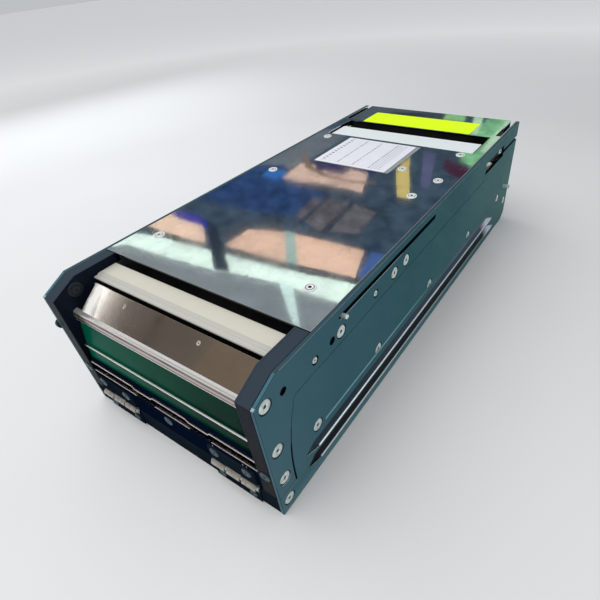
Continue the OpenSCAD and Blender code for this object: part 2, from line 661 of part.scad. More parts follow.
// Polished sloping plate above the entry, with a rolled nose
module entry_plate() color([0.7, 0.68, 0.66]) placed() {
    along_x(-91, 182) polygon([[33.5, 125], [12.5, 110.2], [13.4, 108.9], [34.4, 123.8]]);
    along_x(-post_in + 0.2, 2 * (post_in - 0.2)) polygon([
        [13.4, 110.5], [9.5, 109.6], [8.3, 108.2], [8.3, 100.2], [9.8, 98.2],
        [11, 99], [9.8, 100.8], [9.8, 107.6], [10.6, 108.3], [14, 109]
    ]);
    along_x(-frame_in + air, 2 * (frame_in - air)) polygon([
        [32.4, 124.2], [33.5, 125], [34.9, 124.2], [34.9, 117], [33.5, 117], [33.5, 123.2]
    ]);
}

// Dark glossy panel between the nose and the slot
module entry_panel() color([0.02, 0.16, 0.12]) placed() along_x(-post_in + 0.2, 2 * (post_in - 0.2))
    polygon([
        [10, 98], [5.6, 75], [3.7, slot_high + 2], [5.2, slot_high + 2], [7.1, 74.8], [11.4, 97.6]
    ]);
module lip_bar() color([0.9, 0.9, 0.86]) placed() along_x(-post_in + 0.2, 2 * (post_in - 0.2))
    polygon([[5.8, 76.2], [4.3, 76.6], [3.4, 75.6], [3.5, 73.8], [5.4, 73.6], [5.57, 75]]);

// Upper edge of the stepped slot at X, as a list of points from left to right
function steps(z, x_end) = let (s = slot_shift, i = slot_inner, o = slot_outer, r = slot_ramp)
    [[-x_end, z], [s - o - r, z], [s - o, z - slot_step], [s - i - r, z - slot_step], [s - i, z],
     [s + i, z], [s + i + r, z - slot_step], [s + o, z - slot_step], [s + o + r, z], [x_end, z]];
module lip(z, z_back) translate([0, lip_y + lip_t, 0]) rotate([90, 0, 0]) linear_extrude(lip_t)
    polygon(concat(steps(z, post_in - 0.2), [[post_in - 0.2, z_back], [-post_in + 0.2, z_back]]));
module slot_lips() color([0.7, 0.68, 0.7]) placed() {
    lip(slot_low, slot_low - 5);
    lip(slot_high, slot_high + 4);
}

// Lower front panel of the upper unit: face, ledge under the slot and bottom flange
module lower_entry_panel() color([0.05, 0.09, 0.18]) placed() difference() {
    union() {
        translate([-post_in + 0.2, 0, sill_z + part_gap / 2])
            cube([2 * (post_in - 0.2), sheet_t, slot_low - 1 - sill_z - part_gap / 2]);
        for (z = [slot_low - 6.5, sill_z + part_gap / 2])
            translate([-post_in + 0.2, 0, z]) cube([2 * (post_in - 0.2), part_y - 3, sheet_t]);
    }
    both() rod(hinge_x - hinge_w / 2 - 0.5, hinge_y, sill_z, knuckle_r + 0.5, hinge_w + 1);
    for (x = [-1, 1], dx = [-leaf_screw_x, leaf_screw_x])
        translate([x * hinge_x + dx, -1, sill_z + leaf_screw_z])
            rotate([-90, 0, 0]) cylinder(r = 1.5 + fit, h = 4);
    translate([0, -1, sill_z + leaf_screw_z]) rotate([-90, 0, 0]) cylinder(r = 1.5 + fit, h = 4);
}

// Note guide of the upper unit with roller and sensor windows
module upper_note_guide() color([0.12, 0.13, 0.14]) placed() difference() {
    union() {
        along_x(-guide_x, 2 * guide_x) guide_section(turn_r + guide_gap + sheet_t, slot_high + 4, 3);
        translate([-guide_x, lip_y + lip_t + 2.1, slot_high + 4])
            cube([2 * guide_x, turn_y - turn_r - guide_gap - lip_y - lip_t - 2.1, sheet_t]);
    }
    for (x = belt_xs, y = [drum_1_y, drum_2_y, drum_3_y, drum_4_y])
        translate([x - belt_w / 2 - 2, y - pinch_r - 1, path_top - 2]) cube([belt_w + 4, 2 * pinch_r + 2, 6]);
    translate([-guide_x + 4, upper_sensor_y - 11 - air, path_top - 2])
        cube([2 * guide_x - 8, 22 + 2 * air, 6]);
    translate([-guide_x + 4, head_bar_y - 8 - air, path_top - 2]) cube([2 * guide_x - 8, 16 + 2 * air, 6]);
}

// Side frames of the upper unit with their standoffs
module upper_frame() difference() {
    union() {
        along_x(frame_in, sheet_t) polygon([
            [beam_front + 1, path_top + sheet_t], [beam_front + 1, body_h - 9], [post_l + 3, body_h - 9],
            [post_l + 3, body_h - sheet_t], [window_front - 2, body_h - sheet_t],
            [window_front - 2, rear_beam_z - sheet_t],
            [window_front + 2 + rear_beam_l, rear_beam_z - sheet_t],
            [window_front + 2 + rear_beam_l, body_h - 9],
            [body_l - 10, body_h - 9], [body_l - 10, path_top + 3]
        ]);
        for (y = concat(upper_screws_y, small_screws_y))
            if (y > post_l) rod(frame_in, y, side_z, standoff_r, inner_x - frame_in);
        for (y = [body_l - 180, body_l - 30]) rod(frame_in, y, side_z + 6, standoff_r, inner_x - frame_in);
    }
    for (y = concat(upper_screws_y, small_screws_y)) rod(frame_in - 1, y, side_z, shank_r + fit, post_w + 4);
    for (y = [drum_1_y, drum_2_y, drum_3_y, drum_4_y])
        rod(frame_in - 1, y, pinch_z, shaft_r + run_gap, sheet_t + 2);
    rod(frame_in - 1, latch_y, latch_z, shaft_r + run_gap, sheet_t + 2);
}
module upper_frames() color([0.62, 0.64, 0.66]) placed() both() upper_frame();

// Cross members under the top cover that take its screws
module cross_members() color([0.6, 0.62, 0.64]) placed() difference() {
    union() {
        for (y = cross_ys) translate([-frame_in, y - 9, body_h - sheet_t - 8]) cube([2 * frame_in, 18, 8]);
        translate([30, 303, body_h - sheet_t - 8]) cube([frame_in - 30, 32, 8]);
    }
    for (y = cross_ys) translate([-frame_in + 2, y - 9 + sheet_t, body_h - sheet_t - 9])
        cube([2 * frame_in - 4, 18 - 2 * sheet_t, 7]);
    translate([30 + sheet_t, 303 + sheet_t, body_h - sheet_t - 9])
        cube([frame_in - 30 - sheet_t - 2, 32 - 2 * sheet_t, 7]);
    for (p = concat(top_screw_at, mid_screw_at))
        translate([p[0], p[1], body_h - 12]) cylinder(r = shank_r + fit, h = 12);
}

module upper_sensor() color([0.1, 0.1, 0.11]) placed() difference() {
    union() {
        translate([-guide_x + 5, upper_sensor_y - 10.5, path_top + 0.7]) cube([2 * guide_x - 10, 21, 18.5]);
        translate([-guide_x, upper_sensor_y - 6, path_top + 8]) cube([2 * guide_x, 12, 8]);
    }
    translate([-guide_x + 8, upper_sensor_y - 7.5, path_top - 2.8]) cube([2 * guide_x - 16, 15, 6]);
}
module upper_sensor_glass() color([0.6, 0.75, 0.78, 0.5]) placed()
    translate([-guide_x + 8.2, upper_sensor_y - 7.3, path_top + 0.3]) cube([2 * guide_x - 16.4, 14.6, 2.9]);

module magnetic_head() color([0.45, 0.45, 0.47]) placed() {
    translate([-guide_x + 5, head_bar_y - 7.5, path_top + 2]) cube([2 * guide_x - 10, 15, 14]);
    translate([-guide_x, head_bar_y - 5, path_top + 6]) cube([2 * guide_x, 10, 8]);
    for (i = [0:8]) translate([-84 + i * 21, head_bar_y, path_top + 0.3])
        translate([-5, -5, 0]) cube([10, 10, 2]);
}

module upper_screws() color([0.9, 0.92, 0.9]) placed() {
    both() {
        for (p = post_screws) side_screw(p[0], p[1], head_r, 7);
        for (y = upper_screws_y) side_screw(y, side_z, head_r, 8);
        side_screw(small_screws_y[1], side_z, small_head_r, 8);
        side_screw(small_screws_y[0], side_z, small_head_r, 6);
    }
    for (p = concat(top_screw_at, mid_screw_at)) difference() {
        union() {
            translate([p[0], p[1], body_h]) cylinder(r = head_r, h = 0.9);
            translate([p[0], p[1], body_h - 6]) cylinder(r = shank_r, h = 6 + eps);
        }
        translate([p[0], p[1], body_h + 0.3]) cylinder(r = 1.25, h = 2);
    }
}
module front_screws() color([0.35, 0.42, 0.46]) placed() {
    for (x = [-1, 1], dx = [-leaf_screw_x, leaf_screw_x])
        face_screw(x * hinge_x + dx, -leaf_t, sill_z + leaf_screw_z, 4.6);
    face_screw(0, 0, sill_z + leaf_screw_z, 4.6);
    both() face_screw(post_in + post_w / 2 - 1, 0, 47, 4.6);
}

module white_label() color([0.92, 0.92, 0.94]) placed()
    translate([-60, 309, body_h]) cube([92, 81, 0.12]);
module yellow_label() color([0.84, 1, 0.05]) placed()
    translate([-80, body_l - 69, body_h]) cube([153, 42, 0.12]);

module guide_pins() color([0.85, 0.85, 0.86]) placed() both()
    rod(frame_in + sheet_t, guide_slot_y[0] + 2, guide_slot_z, guide_pin_r,
        half_w + guide_pin_out - frame_in - sheet_t);

// Bosses on the inner faces of the posts and the end knobs of the lip bar
module post_knobs() color([0.2, 0.22, 0.24]) placed() {
    both() rod(post_in - 1.3, boss_y, chamfer_foot + 0.3, 6.5, 1.3);
    both() rod(post_in - 2, boss_y, chamfer_foot + 0.3, 3.5, 0.7 + eps);
    rod(-half_w - knob_l, knob_y, knob_z, knob_r, knob_l);
    rod(post_in - 3, 4.6, 89, 3, 3);
}

module latch_shaft() color([0.8, 0.8, 0.82]) placed()
    rod(-inner_x + 0.5, latch_y, latch_z, shaft_r, 2 * inner_x - 1);
// Levers that show in the side pockets, with a finger stud at the front end
module latch_levers() color([0.7, 0.72, 0.74]) placed() both() difference() {
    union() {
        along_x(inner_x - 3.5, 3) polygon([
            [finger_y - 2.5, finger_z - 3], [finger_y - 2.5, finger_z + 3],
            [latch_y - 3, latch_z + 1.5], [latch_y - 3, latch_z - 3.5]
        ]);
        rod(inner_x - 3.5, latch_y, latch_z, 5, 3);
        rod(inner_x - 1, finger_y, finger_z, 2, plate_t);
    }
    rod(inner_x - 4, latch_y, latch_z, shaft_r, 4.2);
}
module latch_hooks() color([0.6, 0.62, 0.64]) placed() both() difference() {
    union() {
        rod(post_in + 4, latch_y, latch_z, 5, 4);
        along_x(post_in + 4, 4) polygon([
            [latch_y - 3, latch_z], [latch_y - 3, keeper_z - 7], [latch_y + 6.5, keeper_z - 7],
            [latch_y + 6.5, keeper_z - 3.8], [latch_y + 3, keeper_z - 3.8], [latch_y + 3, latch_z]
        ]);
    }
    rod(post_in + 3, latch_y, latch_z, shaft_r, 6);
}

lower_plate_right();
lower_plate_left();
bottom_plate();
front_sill();
lower_rear_plate();
lower_frames();
lower_note_guide();
lower_sensor();
lower_sensor_glass();
shaft_bushes();
drive_motor();
transport_belts_front();
transport_belts_rear();
timing_belt();
control_board();
board_parts();
rear_connectors();
hinge_leaves_lower();
hinge_pins();
lower_screws();
locating_studs();
latch_keepers();
top_cover();
upper_plate_right();
upper_plate_left();
front_post_right();
front_post_left();
front_beam();
rear_beam();
entry_plate();
entry_panel();
lip_bar();
slot_lips();
lower_entry_panel();
upper_note_guide();
upper_frames();
cross_members();
upper_sensor();
upper_sensor_glass();
magnetic_head();
hinge_leaves_upper();
upper_screws();
front_screws();
white_label();
yellow_label();
guide_pins();
post_knobs();
belt_drum_1();
belt_drum_2();
belt_drum_3();
belt_drum_4();
drive_gear();
motor_pinion();
pinch_roller_1();
pinch_roller_2();
pinch_roller_3();
pinch_roller_4();
latch_shaft();
latch_levers();
latch_hooks();
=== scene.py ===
import json
import math
import bpy
import bmesh
from mathutils import Matrix, Vector, geometry

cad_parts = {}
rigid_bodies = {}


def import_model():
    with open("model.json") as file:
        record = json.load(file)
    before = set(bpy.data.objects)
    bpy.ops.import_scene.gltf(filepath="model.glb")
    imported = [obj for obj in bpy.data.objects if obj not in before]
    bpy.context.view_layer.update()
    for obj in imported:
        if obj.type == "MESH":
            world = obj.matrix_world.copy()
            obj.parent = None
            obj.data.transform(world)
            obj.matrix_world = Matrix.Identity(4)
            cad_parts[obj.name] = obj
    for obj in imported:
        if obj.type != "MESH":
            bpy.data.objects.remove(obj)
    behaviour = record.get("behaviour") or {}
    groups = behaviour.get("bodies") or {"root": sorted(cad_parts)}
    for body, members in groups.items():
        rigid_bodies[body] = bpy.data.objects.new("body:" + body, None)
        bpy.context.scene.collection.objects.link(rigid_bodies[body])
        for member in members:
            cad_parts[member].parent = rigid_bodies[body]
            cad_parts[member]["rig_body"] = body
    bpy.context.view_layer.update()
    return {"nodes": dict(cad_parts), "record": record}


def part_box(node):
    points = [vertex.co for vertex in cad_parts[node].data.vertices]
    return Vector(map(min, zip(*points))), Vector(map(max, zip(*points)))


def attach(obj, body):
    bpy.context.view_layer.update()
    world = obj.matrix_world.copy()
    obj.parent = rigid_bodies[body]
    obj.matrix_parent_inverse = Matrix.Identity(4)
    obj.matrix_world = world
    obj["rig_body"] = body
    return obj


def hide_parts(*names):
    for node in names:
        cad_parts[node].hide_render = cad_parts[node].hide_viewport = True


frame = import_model()
nodes = frame["nodes"]
scene = bpy.context.scene
mm = 0.001
scene.view_settings.view_transform = "Standard"

# the front face of the case in metres, and in the millimetres that the paints count in
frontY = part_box("upper_plate_right")[0][1]
faceY = frontY / mm
print("frame loaded:", len(nodes), "CAD nodes")


def at(x, y, z):
    # millimetres, y counted from the front face
    return Vector((x * mm, frontY + y * mm, z * mm))


class Wire:
    # a socket that takes part in arithmetic
    def __init__(self, paint, socket):
        self.paint = paint
        self.socket = socket

    def calc(self, operation, *values):
        sockets = {i: v for i, v in enumerate(values)}
        return self.paint.add("ShaderNodeMath", {"operation": operation}, sockets)

    def __add__(self, other): return self.calc("ADD", self, other)
    def __radd__(self, other): return self.calc("ADD", other, self)
    def __sub__(self, other): return self.calc("SUBTRACT", self, other)
    def __rsub__(self, other): return self.calc("SUBTRACT", other, self)
    def __mul__(self, other): return self.calc("MULTIPLY", self, other)
    def __rmul__(self, other): return self.calc("MULTIPLY", other, self)
    def __gt__(self, other): return self.calc("GREATER_THAN", self, other)
    def __lt__(self, other): return self.calc("LESS_THAN", self, other)
    def __mod__(self, other): return self.calc("FLOORED_MODULO", self, other)
    def __abs__(self): return self.calc("ABSOLUTE", self)

    def clip(self):
        return self.paint.add("ShaderNodeClamp", {}, {0: self})


class Paint:
    # one material: nodes are added with a type, its settings and the values of its sockets
    def __init__(self, name, **fixed):
        self.mat = bpy.data.materials.new(name)
        self.mat.use_nodes = True
        self.tree = self.mat.node_tree
        self.tree.nodes.clear()
        self.shader = self.tree.nodes.new("ShaderNodeBsdfPrincipled")
        end = self.tree.nodes.new("ShaderNodeOutputMaterial")
        self.tree.links.new(self.shader.outputs[0], end.inputs[0])
        for socket, value in fixed.items():
            self.shader.inputs[socket.replace("_", " ")].default_value = value
        self.mat.diffuse_color = (0.5, 0.5, 0.5, 1)

    def add(self, kind, settings=None, sockets=None, out=0):
        node = self.tree.nodes.new(kind)
        for key, value in (settings or {}).items():
            if key == "stops":
                ramp = node.color_ramp
                while len(ramp.elements) < len(value):
                    ramp.elements.new(0.5)
                for element, (place, colour) in zip(ramp.elements, value):
                    element.position = place
                    element.color = (*colour, 1)
            else:
                setattr(node, key, value)
        for key, value in (sockets or {}).items():
            self.feed(node.inputs[key], value)
        return Wire(self, node.outputs[out])

    def feed(self, socket, value):
        if isinstance(value, Wire):
            self.tree.links.new(value.socket, socket)
        elif isinstance(value, tuple) and len(value) == 3 and socket.type == "RGBA":
            socket.default_value = (*value, 1)
        else:
            socket.default_value = value

    def set(self, **sockets):
        for key, value in sockets.items():
            self.feed(self.shader.inputs[key.replace("_", " ")], value)
        return self

    # the point on the piece in millimetres
    def point(self, stretch=(1, 1, 1)):
        spot = self.add("ShaderNodeTexCoord", out=3)
        scale = tuple(s / mm for s in stretch)
        return self.add("ShaderNodeVectorMath", {"operation": "MULTIPLY"}, {0: spot, 1: scale})

    def split(self, vector):
        parts = self.tree.nodes.new("ShaderNodeSeparateXYZ")
        self.tree.links.new(vector.socket, parts.inputs[0])
        return [Wire(self, socket) for socket in parts.outputs]

    def axes(self):
        return self.split(self.point())

    # the direction a face of the piece points in
    def facing(self):
        return self.split(self.add("ShaderNodeTexCoord", out=1))

    # value 1 between the two inner lines, falling to 0 at the outer ones
    def band(self, value, a, b, c, d):
        return self.spread(value, a, b) * self.spread(value, d, c)

    def noise(self, scale, detail=3, stretch=(1, 1, 1), rough=0.5):
        return self.add("ShaderNodeTexNoise", {}, {
            "Vector": self.point(stretch), "Scale": scale, "Detail": detail, "Roughness": rough})

    def spread(self, value, low, high, a=0, b=1):
        return self.add("ShaderNodeMapRange", {}, {0: value, 1: low, 2: high, 3: a, 4: b})

    def blend(self, factor, a, b):
        return self.add("ShaderNodeMix", {"data_type": "RGBA"}, {0: factor, 6: a, 7: b}, out=2)

    # colour, roughness and relief of the whole surface: height field, its depth in metres and its strength
    def skin(self, colour, rough, height, depth, strength, **more):
        bump = self.add("ShaderNodeBump", {}, {"Height": height, "Distance": depth, "Strength": strength})
        return self.set(Base_Color=colour, Roughness=rough, Normal=bump, **more)


def coatSkin(p, base, rough, dust):
    # fine orange peel of a powder coat
    return p.skin(base, rough + p.noise(0.3, 3) * 0.1 + dust * 0.08, p.noise(2.2, 2), 0.00003, 0.35)


def powderCoat(name, colour, dark, rough, fleck=1.0, level=0.35, top=None):
    # powder coat with faint clouding and dusty patches; given a top colour, faces that point up take it as a
    # painted highlight, and the coat turns darker towards the bottom
    p = Paint(name, Specular_IOR_Level=level, IOR=1.5)
    cloud = p.spread(p.noise(0.012, 4), 0.3, 0.7)
    dust = p.spread(p.noise(0.09, 6, rough=0.7), 0.45, 0.8)
    base = p.blend(cloud, dark, colour)
    dusty = tuple(c * 1.5 + 0.012 for c in colour)
    base = p.blend(dust * 0.35 * fleck, base, dusty)
    if top:
        foot = p.spread(p.axes()[2], 104, 56)
        base = p.blend(foot * 0.85, base, tuple(c * 0.12 for c in colour))
        # faces that point up get the lighter top colour: painted highlight
        base = p.blend(p.spread(p.facing()[2], 0.5, 0.8), base, top)
    return coatSkin(p, base, rough, dust)


def pressedCoat(name, colour, dark, front, rear):
    # coated side plate: the channels' slopes that face up carry a painted highlight, the ones that face down
    # painted shade
    p = Paint(name, Specular_IOR_Level=0.03, IOR=1.5)
    x, y, z = p.axes()
    nx, ny, nz = p.facing()
    cloud = p.spread(p.noise(0.010, 4, (1, 1, 0.7)), 0.32, 0.68)
    dust = p.spread(p.noise(0.09, 6, rough=0.7), 0.5, 0.8)
    along = p.spread(y, faceY + 120, -faceY)
    ahead = p.spread(y, faceY + 210, faceY + 20)
    base = p.blend(cloud, dark, colour)
    # lighter tones towards the front and towards the rear: painted reflection
    base = p.blend(ahead * (0.5 + cloud * 0.5), base, front)
    base = p.blend((along * (0.45 + cloud * 0.55)).clip(), base, rear)
    # slanted wipe marks, stronger to the rear
    slant = p.add("ShaderNodeCombineXYZ", {}, {
        0: (y * 0.8 - z * 0.6) * 0.010, 1: (y * 0.6 + z * 0.8) * 0.085})
    wipe = p.add("ShaderNodeTexNoise", {}, {
        "Vector": slant, "Scale": 1.0, "Detail": 4, "Roughness": 0.6})
    streak = p.spread(wipe, 0.48, 0.72) * (0.25 + along * 0.75)
    base = p.blend(streak * 0.4, base, (0.060, 0.150, 0.135))
    base = p.blend(dust * 0.12, base, (0.06, 0.12, 0.13))
    # paler hem along the foot
    hem = p.spread(z, 13, 5) * p.spread(y, -faceY - 30, faceY + 240)
    base = p.blend(hem * 0.8, base, (0.075, 0.165, 0.195))
    # channels: slopes that face up get a painted highlight, white to the front and lilac to the rear, slopes
    # that face down get painted shade, and the lower channel is painted darker in both
    slope = (abs(nx) > 0.4) * (z < 40)
    up = p.spread(nz, 0.15, 0.42) * slope
    down = p.spread(nz, -0.02, -0.06) * slope
    fade = (along + (cloud - 0.5) * 0.4).clip()
    low = z < 25
    wearAndSheen = p.blend(fade, (0.92, 0.98, 1.0), (0.27, 0.27, 0.39))
    wearAndSheen = p.blend(low * 0.5, wearAndSheen, (0.10, 0.14, 0.16))
    base = p.blend(up * (0.9 + cloud * 0.1) * (1 - along * low * 0.9), base, wearAndSheen)
    shade = p.blend(fade * (1 - low), (0.010, 0.024, 0.036), (0.050, 0.070, 0.105))
    shade = p.blend(low, shade, (0.0, 0.001, 0.003))
    base = p.blend(down, base, shade)
    # painted lilac reflection where the slopes reach their far ends
    tilt = y + (z - 36) * 0.9
    endReflection = p.band(tilt, faceY + 414, faceY + 434, faceY + 464, faceY + 474)
    base = p.blend(endReflection * (down + up).clip() * 0.9, base, (0.62, 0.62, 0.74))
    # painted highlight along the bend line over the channels, and a painted lilac reflection on the flank
    # below it
    ridgeHighlight = (abs(x) > 115.04) * (z > 46) * p.spread(y, faceY + 290, faceY + 180)
    base = p.blend(ridgeHighlight * 0.8, base, (0.20, 0.34, 0.38))
    flankReflection = p.band(z, 38.2, 39.6, 41.6, 43.4) * p.band(y, faceY + 240, faceY + 330, faceY + 432, faceY + 446)
    base = p.blend(flankReflection * (0.25 + cloud * 0.35), base, (0.15, 0.15, 0.24))
    # top edge in a greyer slate tone, a patchy painted highlight on its rim, and a painted highlight on the
    # lower rim of the long slot
    base = p.blend((nz > 0.9) * (z > 135.7) * 0.85, base, (0.030, 0.046, 0.058))
    rim = (nz > 0.4) * (nz < 0.9) * (z > 135.3) * (0.5 + p.spread(p.noise(0.15, 4), 0.35, 0.6) * 0.5)
    base = p.blend(rim * 0.5, base, (0.24, 0.29, 0.31))
    slotRimHighlight = (nz > 0.2) * (z > 124) * (z < 125.6) * (y < faceY + 190)
    base = p.blend(slotRimHighlight * 0.6, base, (0.36, 0.46, 0.50))
    # painted shade on the walls of bores and gaps, then on the leading edges
    deep = (abs(x) < 114.55) * (z > 20) * (z < 135.2) * (y > faceY + 16) * (y < -faceY - 1)
    deep = deep * ((z > 42) + (y < faceY + 33) > 0.5) * ((z < 131) + (y > faceY + 30) > 0.5)
    base = p.blend(deep, base, (0.002, 0.003, 0.004))
    frontEdgeShade = (abs(nx) < 0.75) * (y < faceY + 26) * (abs(x) > 114.4)
    base = p.blend(frontEdgeShade * 0.85, base, (0.012, 0.024, 0.038))
    return coatSkin(p, base, 0.4 - up * 0.1, dust)


def brushedMetal(name, colour, rough, along, depth=0.3, tint=0.12, metallic=1.0):
    # drawn lines along one axis, with stains and a few long scratches
    p = Paint(name, Metallic=metallic)
    lines = p.noise(3.0, 2, along)
    fine = p.noise(9.0, 1, along)
    stain = p.spread(p.noise(0.03, 5, rough=0.65), 0.35, 0.75)
    darker = tuple(c * (1 - tint) for c in colour)
    return p.skin(p.blend(lines * 0.6 + stain * 0.4, darker, colour),
                  rough + (lines - 0.5) * 0.16 + stain * 0.06, lines + fine * 0.5, 0.00002, depth)


def satinBeam(name, colour, shade, edge):
    # satin sheet, greyer along the folded lip in front of the given line
    p = Paint(name, Metallic=0.3)
    y = p.axes()[1]
    lines = p.noise(3.0, 2, (0.02, 1, 1))
    stain = p.spread(p.noise(0.03, 5, rough=0.65), 0.35, 0.75)
    base = p.blend(lines * 0.3 + stain * 0.3, colour, tuple(c * 0.85 for c in colour))
    base = p.blend(y < (faceY + edge), base, shade)
    return p.skin(base, 0.42 + (lines - 0.5) * 0.16 + stain * 0.06, lines, 0.00002, 0.2)


def polishedMetal(name, colour, rough, haze, scratch, wave, edge=None, hazeHighlight=None):
    # mirror sheet with fine scratches, fingerprints and a slight waviness; edge is a dark colour painted on
    # its rim faces as shade; the four places given for the haze bound the band where the polish has gone,
    # painted pale and dull as a painted highlight
    p = Paint(name, Metallic=1.0)
    swirl = p.noise(0.05, 2)
    long = p.add("ShaderNodeTexWave", {"wave_type": "BANDS", "bands_direction": "DIAGONAL"}, {
        "Vector": p.point((0.8, 0.12, 1)), "Scale": 0.7, "Distortion": 14, "Detail": 3,
        "Detail Scale": 2.5}, out=1)
    fine = p.spread(long, 0.96, 1.0)
    smear = p.spread(p.noise(0.025, 6, rough=0.7), 0.42, 0.72)
    speck = p.spread(p.noise(0.6, 2), 0.70, 0.78)
    darker = tuple(c * 0.86 for c in colour)
    base = p.blend(smear, colour, darker)
    # a pale, less metallic patch where the polish has gone, also a painted highlight
    if hazeHighlight:
        place = p.axes()[0] + (p.noise(0.08, 3) - 0.5) * 10
        dullHighlight = p.band(place, *hazeHighlight)
        base = p.blend(dullHighlight, base, (0.95, 0.93, 0.88))
        p.set(Metallic=1 - dullHighlight * 0.75)
    # rim faces take the dark edge colour: painted shade
    if edge:
        nx, ny, nz = p.facing()
        base = p.blend((abs(nz) < 0.85) * (abs(nx) < 0.4), base, edge)
    return p.skin(base, rough + smear * haze + fine * 0.05 + speck * 0.15,
                  swirl * wave + fine * 0.02 + speck * 0.05, 0.0004, scratch)


def moulded(name, colour, rough, grain=1.6, level=0.4):
    # moulded plastic: spark-eroded grain, slight flow marks
    p = Paint(name, Specular_IOR_Level=level)
    flow = p.spread(p.noise(0.02, 3), 0.3, 0.7)
    pit = p.noise(grain, 2)
    lighter = tuple(min(1, c * 1.25 + 0.008) for c in colour)
    return p.skin(p.blend(flow, colour, lighter), rough + pit * 0.12, pit, 0.00005, 0.35)


def paintedReflectionPanel(name, left, right):
    # panel whose colour, brighter at the left end, is a painted reflection, with specks of dirt
    p = Paint(name, Specular_IOR_Level=0.02)
    along = p.spread(p.axes()[0], -98, 98)
    cloud = p.noise(0.03, 3)
    speck = p.spread(p.noise(0.22, 3), 0.66, 0.72)
    base = p.blend((along + (cloud - 0.5) * 0.5).clip(), left, right)
    base = p.blend(speck * 0.7, base, (0.012, 0.022, 0.008))
    return p.skin(base, 0.16 + cloud * 0.1 + speck * 0.3, p.noise(0.08, 2), 0.0004, 0.12)


def noseLightBands(name):
    # rolled edge: bright, dark and grey lines by height are painted highlights and shade of the roll
    p = Paint(name, Metallic=0.85)
    wander = (p.noise(0.03, 3, (1, 0, 0)) - 0.5) * 0.5
    place = p.spread(p.axes()[2] + wander, 98, 110.6)
    lightAndShadeBands = p.add("ShaderNodeValToRGB", {"stops": [
        (0.0, (0.05, 0.04, 0.04)), (0.16, (0.10, 0.08, 0.08)), (0.22, (0.85, 0.80, 0.74)),
        (0.30, (0.85, 0.80, 0.74)), (0.36, (0.16, 0.11, 0.11)), (0.46, (0.10, 0.06, 0.07)),
        (0.52, (0.55, 0.48, 0.46)), (0.66, (0.48, 0.40, 0.38)), (0.72, (0.07, 0.05, 0.05)),
        (0.80, (0.12, 0.09, 0.08)), (0.86, (0.95, 0.92, 0.88)), (1.0, (0.95, 0.92, 0.88))]}, {0: place})
    smear = p.spread(p.noise(0.05, 5), 0.35, 0.75)
    return p.skin(p.blend(smear * 0.3, lightAndShadeBands, (0.62, 0.56, 0.52)), 0.24 + smear * 0.12,
                  p.noise(1.5, 2, (0.05, 1, 1)), 0.00002, 0.12)


def rubberSkin(name, colour):
    # ground rubber with fine cross lines
    p = Paint(name, Specular_IOR_Level=0.3)
    cloud = p.noise(0.1, 4)
    grind = p.noise(2.5, 2, (1, 0.4, 0.4))
    dust = p.spread(p.noise(0.25, 5), 0.5, 0.8)
    dusty = tuple(c + 0.05 for c in colour)
    return p.skin(p.blend(dust * 0.5, colour, dusty), 0.72 + cloud * 0.15, grind, 0.00006, 0.5)


def wovenBelt(name, colour):
    # flat belt: diagonal cloth weave under a worn coating
    p = Paint(name, Specular_IOR_Level=0.25)
    x, y, z = p.axes()
    weft = abs((y * 1.6) % 1 - 0.5)
    warp = abs((x * 1.6) % 1 - 0.5)
    weave = weft + warp
    wearAndSheen = p.spread(p.noise(0.08, 4, (1, 0.25, 1)), 0.4, 0.7)
    lighter = tuple(c * 1.7 + 0.02 for c in colour)
    return p.skin(p.blend(wearAndSheen, colour, lighter), 0.6 + weave * 0.2, weave, 0.00012, 0.5)


def circuitBoard(name):
    # solder mask with tracks on a grid, pads and vias
    p = Paint(name, Specular_IOR_Level=0.5)
    cell = p.add("ShaderNodeTexBrick", {"offset": 0.5, "offset_frequency": 3}, {
        "Vector": p.point((0.12, 0.12, 0)), "Scale": 1.0, "Mortar Size": 0.035,
        "Brick Width": 0.9, "Row Height": 0.28}, out=1)
    dots = p.add("ShaderNodeTexVoronoi", {"feature": "F1"}, {
        "Vector": p.point((1, 1, 0)), "Scale": 0.22, "Randomness": 0.6})
    via = dots < 0.13
    base = p.blend(cell, (0.012, 0.10, 0.05), (0.03, 0.20, 0.10))
    base = p.blend(via, base, (0.75, 0.62, 0.3))
    return p.skin(base, 0.28 + via * 0.1, cell + via * 0.6, 0.00005, 0.5, Metallic=via * 0.9)


def clearGlass(name):
    # smeared window of a sensor
    p = Paint(name, Transmission_Weight=0.9, IOR=1.5)
    smear = p.spread(p.noise(0.06, 4), 0.4, 0.8)
    return p.set(Base_Color=p.blend(smear, (0.75, 0.9, 0.92), (0.6, 0.8, 0.84)),
                 Roughness=0.03 + smear * 0.07)


